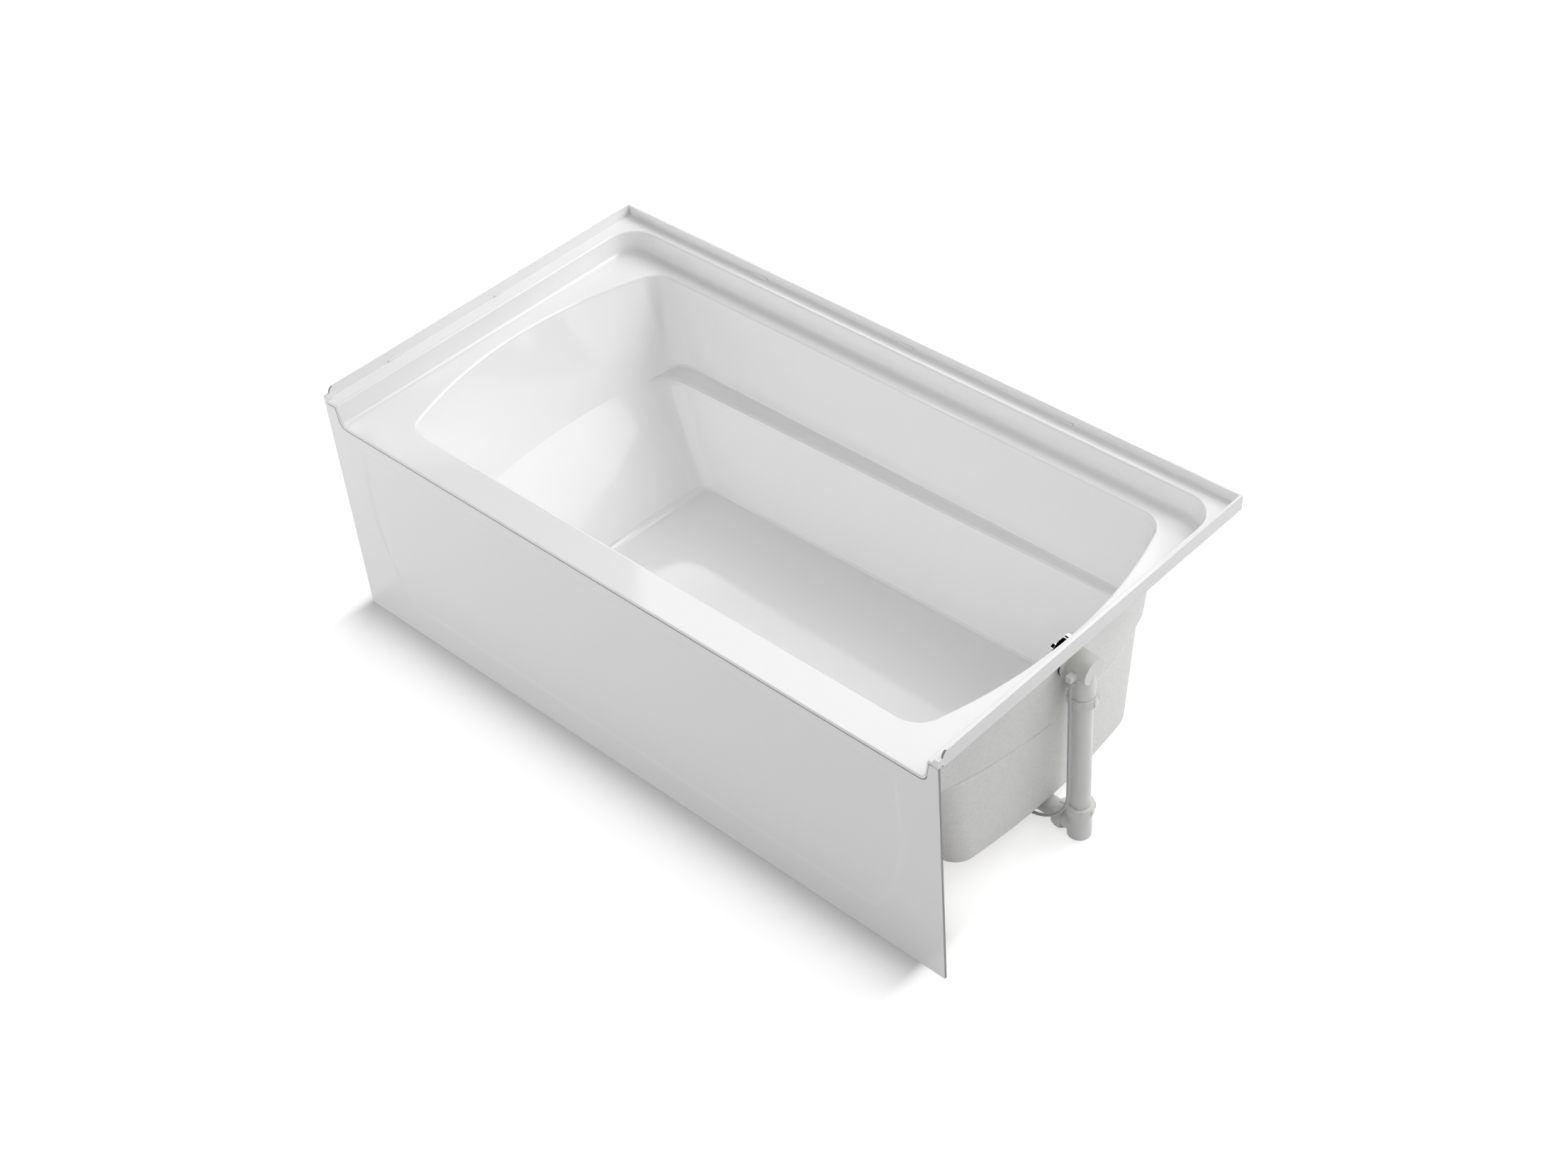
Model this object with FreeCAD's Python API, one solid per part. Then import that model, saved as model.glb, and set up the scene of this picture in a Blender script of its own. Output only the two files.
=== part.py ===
"""Alcove bathtub with a front apron, a tiling flange and a push-knob waste.

Millimetres.  +X runs along the bath towards the waste end, +Y towards the back wall, +Z up.
The origin lies on the floor, midway along the length and midway from front to back.
"""
import FreeCAD, Part
import math
import os

os.makedirs("parts", exist_ok=True)

Vector = FreeCAD.Vector
X_AXIS = Vector(1, 0, 0)
Y_AXIS = Vector(0, 1, 0)
Z_AXIS = Vector(0, 0, 1)

# ---------------------------------------------------------------- overall
LENGTH = 1524.0
DEPTH = 812.8
RIM_HEIGHT = 470.0
LEDGE_RISE = 45.0
FLANGE_RISE = 21.2
SKIN = 5.0
SEAM = 0.8
BOND = 0.3

# ---------------------------------------------------------------- deck recess and ledges
LEDGE_LEFT = 35.0
LEDGE_RIGHT = 23.5
LEDGE_BACK = 31.4
RECESS_DRAFT = 9.0
RECESS_CORNER = 62.0
RECESS_FILLET = 12.0
LEDGE_ROUND = 4.0
FRONT_ROUND = 3.2
LIP_UNDER_ROUND = 1.4

# ---------------------------------------------------------------- tiling flange
FLANGE_THICK = 4.0
FLANGE_LAP = 10.0
FLANGE_NOSE_ROUND = 12.0
EAR_LENGTH = 12.4
EAR_WIDTH = 10.0
EAR_HEIGHT = 9.5
BOSS_DEPTH = 3.0
BOSS_HEIGHT = 4.0
BACK_BOSS_WIDTH = 32.0
SIDE_BOSS_WIDTH = 29.0
SIDE_BOSS_MIDS = (-236.0, 40.0)

# ---------------------------------------------------------------- basin
RIM_LEFT_MARGIN = 79.0
RIM_RIGHT_MARGIN = 50.6
RIM_FRONT_MARGIN = 73.65
RIM_BACK_MARGIN = 69.65
RIM_LEFT_BOW = 815.0
RIM_RIGHT_BOW = 952.0
RIM_CORNER = 58.0
RIM_ROUND = 6.0
SIDE_DRAFT = 6.0
END_DRAFT = 5.0

SHELF_SHARE = 0.528
SHELF_ROUND = 8.0
SHELF_EDGE_ROUND = 11.0
SHELF_INSET = 59.75
SHELF_CORNER = 65.0
CREASE_INSET = 101.5
CREASE_BOW = 1170.0

FLOOR_HEIGHT = 69.5
FLOOR_FALL = 0.8
FLOOR_LEFT_INSET = 266.0
FLOOR_LEFT_BOW = 2500.0
FLOOR_RIGHT_BOW = 1600.0
FLOOR_SIDE_INSET = 44.4
FLOOR_CORNER = 40.0
FLOOR_COVE = 12.0
WAIST_TAPER = 0.0225

# ---------------------------------------------------------------- apron
APRON_THICK = 5.0
APRON_END_ROUND = 0.8
FIELD_DEPTH = 0.8
FIELD_BORDER = 11.0
FIELD_FOOT = 80.0
FIELD_TOP_MARGIN = 42.0
FIELD_FOOT_MARGIN = 158.0
FIELD_MID_MARGIN = 103.0
FIELD_WAIST_MARGIN = 93.0
FIELD_TOP_SIDE_MARGIN = 99.0
FIELD_MID_RISE = 120.0
FIELD_WAIST_RISE = 250.0
FIELD_CORNER = 22.0

# ---------------------------------------------------------------- support under the basin
BOARD_THICK = 12.0
BOARD_SIDE_GAP = 35.6
BOARD_LEFT_GAP = 32.0
BOARD_RIGHT_GAP = 48.9
BOARD_CORNER = 30.0
BOARD_DRAIN_CLEAR = 42.0
RUNNER_WIDTH = 44.0
RUNNER_COUNT = 4
RUNNER_END_GAP = 35.0
RUNNER_DRAIN_GAP = 130.0
END_BLOCK_LENGTH = 80.0
END_BLOCK_WIDTH = 34.0
RAIL_THICK = 18.0
RAIL_HEIGHT = 38.0
RAIL_LIFT = 3.0
RAIL_END_GAP = 24.0
BRACE_THICK = 18.0
BRACE_HEIGHT = 34.0

# ---------------------------------------------------------------- overflow
OVERFLOW_DROP = 54.0
OVERFLOW_HOLE = 27.0
COVER_RADIUS = 38.0
COVER_FRONT = 16.0
COVER_WALL = 1.8
COVER_ROUND = 1.6
COVER_INLET_HALF = 24.0
COVER_INLET_SHARE = 0.55
KNOB_HEAD_RADIUS = 7.4
KNOB_HEAD_LENGTH = 7.0
KNOB_HEAD_ROUND = 1.8
KNOB_STEM_RADIUS = 5.0
KNOB_REACH = 19.0
KNOB_REST_GAP = 0.5
SHAFT_RADIUS = 3.0
SHAFT_GRIP = 6.0
SHAFT_TAIL = 3.0
SLIDE_FIT = 0.06
NECK_RADIUS = 25.0
NECK_BORE = 20.5
NECK_REACH = 6.0
BODY_FLANGE_RADIUS = 36.0
BODY_FLANGE_THICK = 4.0
GASKET_THICK = 3.0
CHAMBER_RADIUS = 26.0
CHAMBER_WALL = 3.5
CHAMBER_BACK = 54.0
RETAINER_RADIUS = 33.0
RETAINER_THICK = 4.0
RETAINER_LUG = 8.0
GUIDE_THICK = 6.0
GUIDE_RIM = 2.5
GUIDE_HUB_RADIUS = 6.0
GUIDE_SPOKE = 4.0

# ---------------------------------------------------------------- waste pipework
PIPE_RADIUS = 19.05
PIPE_WALL = 1.6
PIPE_FIT = 0.3
SOCKET_WALL = 3.2
PIPE_OFFSET = 31.0
SOCKET_DROP = 52.0
NUT_HEIGHT = 18.0
NUT_WALL = 3.6
NUT_LUGS = 8
NUT_LUG_DEPTH = 1.4
NUT_LIP = 2.5
WASHER_HEIGHT = 6.0
WASHER_EDGE = 2.0
TEE_RISE = 42.0
TEE_DROP = 25.0
TEE_REACH = 36.0
TEE_STOP = 9.0
TEE_HEAD_DEPTH = 21.0
PIPE_END_GAP = 1.0
DRAIN_INSET = 202.0
SHOE_REACH = 40.0
SHOE_STOP = 10.0
SHOE_BORE_STEP = 2.0

# ---------------------------------------------------------------- drain and stopper
SUMP_RADIUS = 46.0
SUMP_DROP = 9.5
DRAIN_HOLE = 25.0
DRAIN_FLANGE_RADIUS = 34.0
DRAIN_FLANGE_THICK = 2.6
DRAIN_LIP = 0.8
DRAIN_BARREL = 23.4
DRAIN_BORE = 19.0
DRAIN_BARREL_LENGTH = 21.0
SHOE_FLANGE_RADIUS = 35.0
SHOE_FLANGE_THICK = 4.0
SHOE_FOOT_ROUND = 6.0
THREAD_FIT = 0.25
CROSS_BAR = 3.2
CROSS_DEPTH = 7.0
CROSS_HUB = 6.0
STOPPER_RADIUS = 23.0
STOPPER_RISE = 3.8
STOPPER_EDGE = 1.2
SEAL_RADIUS = 21.0
SEAL_THICK = 2.2
SEAL_GAP = 0.3
STEM_RADIUS = 3.0
STEM_REACH = 41.0
STEM_GRIP = 2.0
STEM_NUT_RADIUS = 6.5
STEM_NUT_THICK = 4.0
LEVER_ARM = 18.0
LEVER_REST = 15.0
LEVER_ROUND = 2.5
LEVER_HUB = 3.5
LEVER_WEB = 3.0
LEVER_WIDTH = 6.0
LEVER_SHAFT = 2.0

# ---------------------------------------------------------------- drive cable
CABLE_RADIUS = 3.0
CABLE_OFFSET = 36.0
CABLE_BEND = 100.0
GLAND_RADIUS = 5.6
GLAND_LENGTH = 14.0
GLAND_STEP = 4.0
CABLE_NUT_RADIUS = 8.0
CABLE_NUT_HEIGHT = 6.0

# ---------------------------------------------------------------- derived places
HALF_LENGTH = LENGTH / 2
HALF_DEPTH = DEPTH / 2
LEDGE_HEIGHT = RIM_HEIGHT + LEDGE_RISE
FLANGE_TOP = LEDGE_HEIGHT + FLANGE_RISE
FLANGE_FOOT = LEDGE_HEIGHT - FLANGE_LAP
ABOVE_ALL = FLANGE_TOP + 2 * SKIN
BACK_BOSS_PITCH = LENGTH / 4

RIM_LEFT_X = -HALF_LENGTH + RIM_LEFT_MARGIN
RIM_RIGHT_X = HALF_LENGTH - RIM_RIGHT_MARGIN
BASIN_MID_Y = (RIM_FRONT_MARGIN - RIM_BACK_MARGIN) / 2
RIM_HALF_WIDTH = (DEPTH - RIM_FRONT_MARGIN - RIM_BACK_MARGIN) / 2
WALL_TOP = RIM_HEIGHT - RIM_ROUND
SHELF_HEIGHT = FLOOR_HEIGHT + SHELF_SHARE * (RIM_HEIGHT - FLOOR_HEIGHT)
SHELF_HALF_WIDTH = RIM_HALF_WIDTH - SHELF_INSET
CREASE_X = RIM_LEFT_X + CREASE_INSET
FLOOR_LEFT_X = RIM_LEFT_X + FLOOR_LEFT_INSET
FLOOR_HALF_WIDTH = SHELF_HALF_WIDTH - FLOOR_SIDE_INSET


def right_wall_x(z):
    """Inside of the waste-end wall, which leans outwards towards the rim."""
    return RIM_RIGHT_X - RIM_ROUND - (WALL_TOP - z) * math.tan(math.radians(END_DRAFT))


FLOOR_RIGHT_X = right_wall_x(FLOOR_HEIGHT)
DRAIN_X = HALF_LENGTH - DRAIN_INSET
BOARD_HALF_WIDTH = FLOOR_HALF_WIDTH - BOARD_SIDE_GAP
BOARD_LEFT_X = FLOOR_LEFT_X + BOARD_LEFT_GAP
BOARD_RIGHT_X = FLOOR_RIGHT_X - BOARD_RIGHT_GAP
RUNNER_FIRST = BOARD_LEFT_X + RUNNER_END_GAP
RUNNER_PITCH = (DRAIN_X - RUNNER_DRAIN_GAP - RUNNER_FIRST) / (RUNNER_COUNT - 1)
RUNNER_MIDS = [RUNNER_FIRST + i * RUNNER_PITCH for i in range(RUNNER_COUNT)]

OVERFLOW_HEIGHT = RIM_HEIGHT - OVERFLOW_DROP
OVERFLOW_X = right_wall_x(OVERFLOW_HEIGHT)
WALL_RISE = COVER_RADIUS ** 2 / (2 * (RIM_RIGHT_BOW - RIM_ROUND))
COVER_FOOT = WALL_RISE + BOND
KNOB_FOOT = COVER_FRONT - COVER_WALL - KNOB_REST_GAP

PIPE_X = OVERFLOW_X + PIPE_OFFSET
SOCKET_BORE = PIPE_RADIUS + PIPE_FIT
SOCKET_RADIUS = SOCKET_BORE + SOCKET_WALL
SUMP_HEIGHT = FLOOR_HEIGHT - SUMP_DROP
SHOE_TOP = SUMP_HEIGHT - SKIN - GASKET_THICK - 2 * BOND
ARM_HEIGHT = SHOE_TOP - SOCKET_RADIUS - 3 * BOND
OVERFLOW_SOCKET_FOOT = OVERFLOW_HEIGHT - CHAMBER_RADIUS - SOCKET_DROP
CABLE_Y = BASIN_MID_Y - CABLE_OFFSET
SEAL_FOOT = SUMP_HEIGHT + BOND + DRAIN_LIP + SEAL_GAP
STEM_TOP = SEAL_FOOT + SEAL_THICK + STEM_GRIP
STEM_FOOT = STEM_TOP - STEM_REACH


def box(x0, x1, y0, y1, z0, z1):
    """Box between two corners."""
    return Part.makeBox(x1 - x0, y1 - y0, z1 - z0, Vector(x0, y0, z0))


def disc(radius, z0, z1, x=0.0, y=0.0):
    """Upright round bar."""
    return Part.makeCylinder(radius, z1 - z0, Vector(x, y, z0), Z_AXIS)


def ring(outer, inner, z0, z1, x=0.0, y=0.0):
    """Upright tube."""
    return disc(outer, z0, z1, x, y).cut(disc(inner, z0 - 1, z1 + 1, x, y))


def bar_x(radius, x0, x1, y, z):
    """Round bar along X."""
    return Part.makeCylinder(radius, x1 - x0, Vector(x0, y, z), X_AXIS)


def bar_y(radius, y0, y1, x, z):
    """Round bar along Y."""
    return Part.makeCylinder(radius, y1 - y0, Vector(x, y0, z), Y_AXIS)


def revolve_profile(points):
    """Solid of revolution about Z from (radius, height) points."""
    wire = Part.makePolygon([Vector(r, 0, z) for r, z in points + points[:1]])
    return Part.Face(wire).revolve(Vector(0, 0, 0), Z_AXIS, 360)


def edges_where(shape, test):
    """Edges whose whole length passes a test on points."""
    found = []
    for edge in shape.Edges:
        ends = (edge.FirstParameter, edge.LastParameter)
        samples = [ends[0] + (ends[1] - ends[0]) * i / 4 for i in range(5)]
        if all(test(edge.valueAt(s)) for s in samples):
            found.append(edge)
    return found


# ================================================================ basin
def corner_points(apex, bow, side, half, taper, radius):
    """Tangent points and middle of the corner between an end bow and a long side.

    side is -1 for the left end and +1 for the right one; the corner is on the +Y side.
    """
    arc_mid_x = apex - side * bow
    slant = math.sqrt(1 + taper * taper)
    level = half - radius * slant
    a = 1 + taper * taper
    b = 2 * (taper * level - arc_mid_x)
    c = arc_mid_x ** 2 + level ** 2 - (bow - radius) ** 2
    mid_x = (-b + side * math.sqrt(b * b - 4 * a * c)) / (2 * a)
    mid = Vector(mid_x, level + taper * mid_x, 0)
    arc_mid = Vector(arc_mid_x, 0, 0)
    outward = (mid - arc_mid).normalize()
    on_bow = arc_mid + outward * bow
    normal = Vector(-taper, 1, 0).normalize()
    on_side = mid + normal * radius
    middle = mid + (outward + normal).normalize() * radius
    return on_side, middle, on_bow


def mirrored(point):
    """The same point on the front half of the basin."""
    return Vector(point.x, -point.y, point.z)


def basin_wire(cut, skin, fall):
    """Closed outline of the basin at one level, grown by the skin along its normal."""
    grow = skin * cut["flat"]
    left = corner_points(cut["left"] - grow, cut["left_bow"] + grow, -1,
                         cut["half"] + grow, cut["taper"], cut["corner"] + grow)
    right = corner_points(cut["right"] + grow, cut["right_bow"] + grow, 1,
                          cut["half"] + grow, cut["taper"], cut["corner"] + grow)
    left_apex = Vector(cut["left"] - grow, 0, 0)
    right_apex = Vector(cut["right"] + grow, 0, 0)
    front_left = [mirrored(p) for p in left]
    front_right = [mirrored(p) for p in right]
    edges = [
        Part.makeLine(left[0], right[0]),
        Part.Arc(right[0], right[1], right[2]).toShape(),
        Part.Arc(right[2], right_apex, front_right[2]).toShape(),
        Part.Arc(front_right[2], front_right[1], front_right[0]).toShape(),
        Part.makeLine(front_right[0], front_left[0]),
        Part.Arc(front_left[0], front_left[1], front_left[2]).toShape(),
        Part.Arc(front_left[2], left_apex, left[2]).toShape(),
        Part.Arc(left[2], left[1], left[0]).toShape(),
    ]
    wire = Part.Wire(edges)
    wire.rotate(Vector(0, 0, 0), Y_AXIS, fall)
    wire.translate(Vector(0, BASIN_MID_Y, cut["z"] - skin * cut["drop"]))
    return wire


def level(z, left, left_bow, right, right_bow, half, corner, taper=0.0, flat=1.0, drop=0.0):
    """One level of the basin; flat and drop are the parts of the wall's normal."""
    return dict(z=z, left=left, left_bow=left_bow, right=right, right_bow=right_bow,
                half=half, corner=corner, taper=taper, flat=flat, drop=drop)


def blend(a, b, share, z, flat=1.0, drop=0.0):
    """A level part of the way from one outline to another."""
    keys = ("left", "left_bow", "right", "right_bow", "half", "corner", "taper")
    mix = {k: a[k] + (b[k] - a[k]) * share for k in keys}
    return dict(mix, z=z, flat=flat, drop=drop)


def inset(a, amount, z, flat=1.0, drop=0.0):
    """A level moved inwards all round."""
    return dict(a, left=a["left"] + amount, left_bow=a["left_bow"] - amount,
                right=a["right"] - amount, right_bow=a["right_bow"] - amount,
                half=a["half"] - amount, corner=a["corner"] - amount,
                z=z, flat=flat, drop=drop)


def rim_levels():
    """Outline where the deck starts to roll over, and where the wall starts."""
    deck = level(RIM_HEIGHT, RIM_LEFT_X, RIM_LEFT_BOW, RIM_RIGHT_X, RIM_RIGHT_BOW,
                 RIM_HALF_WIDTH, RIM_CORNER)
    return deck, inset(deck, RIM_ROUND, WALL_TOP)


def backrest_x(z):
    """Inside of the backrest, which changes its slope at the crease."""
    rise = z - SHELF_HEIGHT
    if rise > 0:
        top = RIM_LEFT_X + RIM_ROUND
        return CREASE_X + rise * (top - CREASE_X) / (WALL_TOP - SHELF_HEIGHT)
    return CREASE_X + rise * (CREASE_X - FLOOR_LEFT_X) / (SHELF_HEIGHT - FLOOR_HEIGHT)


def shelf_levels(wall_top):
    """Foot of the upper wall, and head of the lower wall below the armrest shelf."""
    high = SHELF_HEIGHT + SHELF_ROUND
    low = SHELF_HEIGHT - SHELF_EDGE_ROUND
    drop = wall_top["z"] - high
    upper = level(high, backrest_x(high), CREASE_BOW, right_wall_x(high),
                  wall_top["right_bow"],
                  wall_top["half"] - drop * math.tan(math.radians(SIDE_DRAFT)),
                  wall_top["corner"])
    lower = level(low, backrest_x(low), CREASE_BOW, right_wall_x(low),
                  wall_top["right_bow"],
                  SHELF_HALF_WIDTH - 0.2 * SHELF_EDGE_ROUND, SHELF_CORNER, WAIST_TAPER)
    return upper, lower


def shelf_cut(upper, lower, share, z, turn):
    """Level through the shelf's rounded profile; the backrest runs straight through it."""
    slope = math.radians(turn)
    cut = blend(upper, lower, share, z, math.cos(slope), math.sin(slope))
    return dict(cut, left=backrest_x(z))


def floor_level():
    """Outline where the walls would meet the floor without the cove."""
    return level(FLOOR_HEIGHT, FLOOR_LEFT_X, FLOOR_LEFT_BOW, FLOOR_RIGHT_X,
                 FLOOR_RIGHT_BOW, FLOOR_HALF_WIDTH, FLOOR_CORNER, WAIST_TAPER)


def basin_form(skin):
    """The basin's hollow, or with a skin thickness the outside of its wall."""
    deck, wall_top = rim_levels()
    upper, lower = shelf_levels(wall_top)
    base = floor_level()
    cuts = []
    if skin == 0:
        cuts.append((dict(deck, z=RIM_HEIGHT + SKIN), 0))
    quarter = [math.radians(a) for a in (0, 30, 60, 90)]
    for turn in quarter:
        cuts.append((inset(deck, RIM_ROUND * math.sin(turn),
                           WALL_TOP + RIM_ROUND * math.cos(turn),
                           math.sin(turn), math.cos(turn)), 0))
    for share, rise, turn in ((0.0, 1.0, 0), (0.05, 0.35, 35), (0.2, 0.03, 80)):
        z = SHELF_HEIGHT + rise * SHELF_ROUND
        cuts.append((shelf_cut(upper, lower, share, z, turn), 0))
    for share, fall, turn in ((0.78, 0.05, 80), (0.93, 0.35, 45), (1.0, 1.0, 5)):
        z = SHELF_HEIGHT - fall * SHELF_EDGE_ROUND
        cuts.append((shelf_cut(upper, lower, share, z, turn), 0))
    rise = FLOOR_COVE
    share = 1 - rise / (lower["z"] - FLOOR_HEIGHT)
    foot = blend(lower, base, share, FLOOR_HEIGHT + rise)
    for turn in quarter:
        cuts.append((inset(foot, FLOOR_COVE * (1 - math.cos(turn)),
                           FLOOR_HEIGHT + FLOOR_COVE * (1 - math.sin(turn)),
                           math.cos(turn), math.sin(turn)), FLOOR_FALL))
    wires = [basin_wire(cut, skin, fall) for cut, fall in cuts]
    return Part.makeLoft(wires, True, True)


# ================================================================ deck, ledges and flange
def recess_form(grow, top):
    """Tool for the deck recess between the ledges, open at the front."""
    floor_z = RIM_HEIGHT - grow
    lean = math.tan(math.radians(RECESS_DRAFT))
    wires = []
    for z in (floor_z, top):
        out = grow + (z - LEDGE_HEIGHT) * lean
        left = -HALF_LENGTH + LEDGE_LEFT - out
        right = HALF_LENGTH - LEDGE_RIGHT + out
        back = HALF_DEPTH - LEDGE_BACK + out
        front = -DEPTH
        r = RECESS_CORNER + out
        k = r * (1 - math.sqrt(0.5))
        wires.append(Part.Wire([
            Part.makeLine(Vector(left, front, z), Vector(left, back - r, z)),
            Part.Arc(Vector(left, back - r, z), Vector(left + k, back - k, z),
                     Vector(left + r, back, z)).toShape(),
            Part.makeLine(Vector(left + r, back, z), Vector(right - r, back, z)),
            Part.Arc(Vector(right - r, back, z), Vector(right - k, back - k, z),
                     Vector(right, back - r, z)).toShape(),
            Part.makeLine(Vector(right, back - r, z), Vector(right, front, z)),
            Part.makeLine(Vector(right, front, z), Vector(left, front, z)),
        ]))
    tool = Part.makeLoft(wires, True, True)
    foot = edges_where(tool, lambda p: abs(p.z - floor_z) < 1e-4 and p.y > front + 1e-4)
    foot += [e for e in edges_where(tool, lambda p: abs(p.z - floor_z) < 1e-4)
             if abs(e.Vertexes[0].Point.x - e.Vertexes[1].Point.x) < 1e-4]
    return tool.makeFillet(RECESS_FILLET + grow, unique_edges(foot))


def unique_edges(edges):
    """The same edges with repeats taken out."""
    kept = []
    for edge in edges:
        if not any(edge.isSame(other) for other in kept):
            kept.append(edge)
    return kept


def ledge_and_deck():
    """Deck and ledges as one sheet with rolled edges."""
    block = box(-HALF_LENGTH, HALF_LENGTH, -HALF_DEPTH, HALF_DEPTH,
                RIM_HEIGHT - 4 * SKIN, LEDGE_HEIGHT)
    block = block.cut(recess_form(0.0, ABOVE_ALL))
    lip = edges_where(block, lambda p: abs(p.z - LEDGE_HEIGHT) < 1e-4
                      and abs(p.x) < HALF_LENGTH - 1 and p.y < HALF_DEPTH - 1)
    lip = [e for e in lip if e.BoundBox.YMin > -HALF_DEPTH - 1e-4
           and e.BoundBox.YMax > -HALF_DEPTH + 1e-4]
    block = block.makeFillet(LEDGE_ROUND, lip)
    front = edges_where(block, lambda p: abs(p.y + HALF_DEPTH) < 1e-4
                        and p.z > RIM_HEIGHT - 1e-4)
    front = [e for e in front if not (abs(e.BoundBox.XLength) < 1e-4
                                      and abs(abs(e.BoundBox.XMin) - HALF_LENGTH) < 1e-4)]
    block = block.makeFillet(FRONT_ROUND, front)
    under = box(-HALF_LENGTH - 1, HALF_LENGTH + 1, -HALF_DEPTH - 1, HALF_DEPTH + 1,
                RIM_HEIGHT - 5 * SKIN, LEDGE_HEIGHT - SKIN)
    under = under.cut(recess_form(SKIN, ABOVE_ALL))
    sheet = block.cut(under).cut(deck_underside())
    lower = edges_where(sheet, lambda p: abs(p.y + HALF_DEPTH) < 1e-4
                        and p.z < LEDGE_HEIGHT - SKIN + 1e-4)
    lower = [e for e in lower if lies_under_lip(e)]
    return sheet.makeFillet(min(LIP_UNDER_ROUND, 0.8 * (SKIN - FRONT_ROUND)), lower)


def lies_under_lip(edge):
    """True for an edge along the lower side of the front lip."""
    flat = edge.BoundBox.ZLength < 1e-4
    low = edge.BoundBox.ZMax < RIM_HEIGHT - SKIN + 1e-4
    high = edge.BoundBox.ZMin > LEDGE_HEIGHT - SKIN - 1e-4
    return not flat or low or high


def deck_underside():
    """Space below the deck sheet."""
    return box(-HALF_LENGTH - 1, HALF_LENGTH + 1, -HALF_DEPTH - 1, HALF_DEPTH + 1,
               RIM_HEIGHT - 5 * SKIN, RIM_HEIGHT - SKIN)


def side_flange(side):
    """Upstand at one end, with its rounded nose and the low ear in front of it."""
    y_nose = -HALF_DEPTH + EAR_LENGTH
    r = FLANGE_NOSE_ROUND
    k = r * (1 - math.sqrt(0.5))
    points = [Vector(0, y_nose, FLANGE_FOOT), Vector(0, y_nose, FLANGE_TOP - r)]
    nose = Part.Arc(points[1], Vector(0, y_nose + k, FLANGE_TOP - k),
                    Vector(0, y_nose + r, FLANGE_TOP)).toShape()
    top = Part.makeLine(Vector(0, y_nose + r, FLANGE_TOP), Vector(0, HALF_DEPTH, FLANGE_TOP))
    back = Part.makeLine(Vector(0, HALF_DEPTH, FLANGE_TOP), Vector(0, HALF_DEPTH, FLANGE_FOOT))
    foot = Part.makeLine(Vector(0, HALF_DEPTH, FLANGE_FOOT), points[0])
    front = Part.makeLine(points[0], points[1])
    face = Part.Face(Part.Wire([front, nose, top, back, foot]))
    face.translate(Vector(side * (HALF_LENGTH - FLANGE_THICK), 0, 0))
    upstand = face.extrude(Vector(side * FLANGE_THICK, 0, 0))
    inner = side * (HALF_LENGTH - EAR_WIDTH)
    outer = side * HALF_LENGTH
    ear = box(min(inner, outer), max(inner, outer), -HALF_DEPTH, -HALF_DEPTH + EAR_LENGTH,
              LEDGE_HEIGHT - SKIN, LEDGE_HEIGHT + EAR_HEIGHT)
    ear_top = LEDGE_HEIGHT + EAR_HEIGHT
    rolled = edges_where(ear, lambda p: abs(p.y + HALF_DEPTH) < 1e-4
                         and abs(p.z - ear_top) < 1e-4)
    return upstand.fuse(ear.makeFillet(FRONT_ROUND, rolled))


def flange_bosses():
    """Low locating bosses in the corner between the flange and the ledge."""
    bosses = []
    y_face = HALF_DEPTH - FLANGE_THICK
    for step in (-1, 0, 1):
        mid = step * BACK_BOSS_PITCH
        bosses.append(box(mid - BACK_BOSS_WIDTH / 2, mid + BACK_BOSS_WIDTH / 2,
                          y_face - BOSS_DEPTH, y_face + 1,
                          LEDGE_HEIGHT - 1, LEDGE_HEIGHT + BOSS_HEIGHT))
    for side in (-1, 1):
        face = side * (HALF_LENGTH - FLANGE_THICK)
        for mid in SIDE_BOSS_MIDS:
            ends = sorted((face - side * BOSS_DEPTH, face + side))
            bosses.append(box(ends[0], ends[1], mid - SIDE_BOSS_WIDTH / 2,
                              mid + SIDE_BOSS_WIDTH / 2,
                              LEDGE_HEIGHT - 1, LEDGE_HEIGHT + BOSS_HEIGHT))
    return bosses


def bath_shell():
    """The one moulding: basin, armrest shelf, deck, ledges and flange."""
    sheet = ledge_and_deck()
    back_flange = box(-HALF_LENGTH, HALF_LENGTH, HALF_DEPTH - FLANGE_THICK, HALF_DEPTH,
                      FLANGE_FOOT, FLANGE_TOP)
    sheet = sheet.fuse([side_flange(-1), side_flange(1), back_flange] + flange_bosses())
    sump_outer = disc(SUMP_RADIUS + SKIN, SUMP_HEIGHT - SKIN, FLOOR_HEIGHT - SKIN,
                      DRAIN_X, BASIN_MID_Y)
    sump_inner = disc(SUMP_RADIUS, SUMP_HEIGHT, FLOOR_HEIGHT, DRAIN_X, BASIN_MID_Y)
    shell = sheet.fuse([basin_form(SKIN), sump_outer])
    shell = shell.cut(basin_form(0.0)).cut(sump_inner)
    drain_hole = disc(DRAIN_HOLE, SUMP_HEIGHT - 3 * SKIN, SUMP_HEIGHT + 3 * SKIN,
                      DRAIN_X, BASIN_MID_Y)
    overflow_hole = at_overflow(disc(OVERFLOW_HOLE, -3 * SKIN, 3 * SKIN))
    return shell.cut(drain_hole).cut(overflow_hole).removeSplitter()


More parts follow.
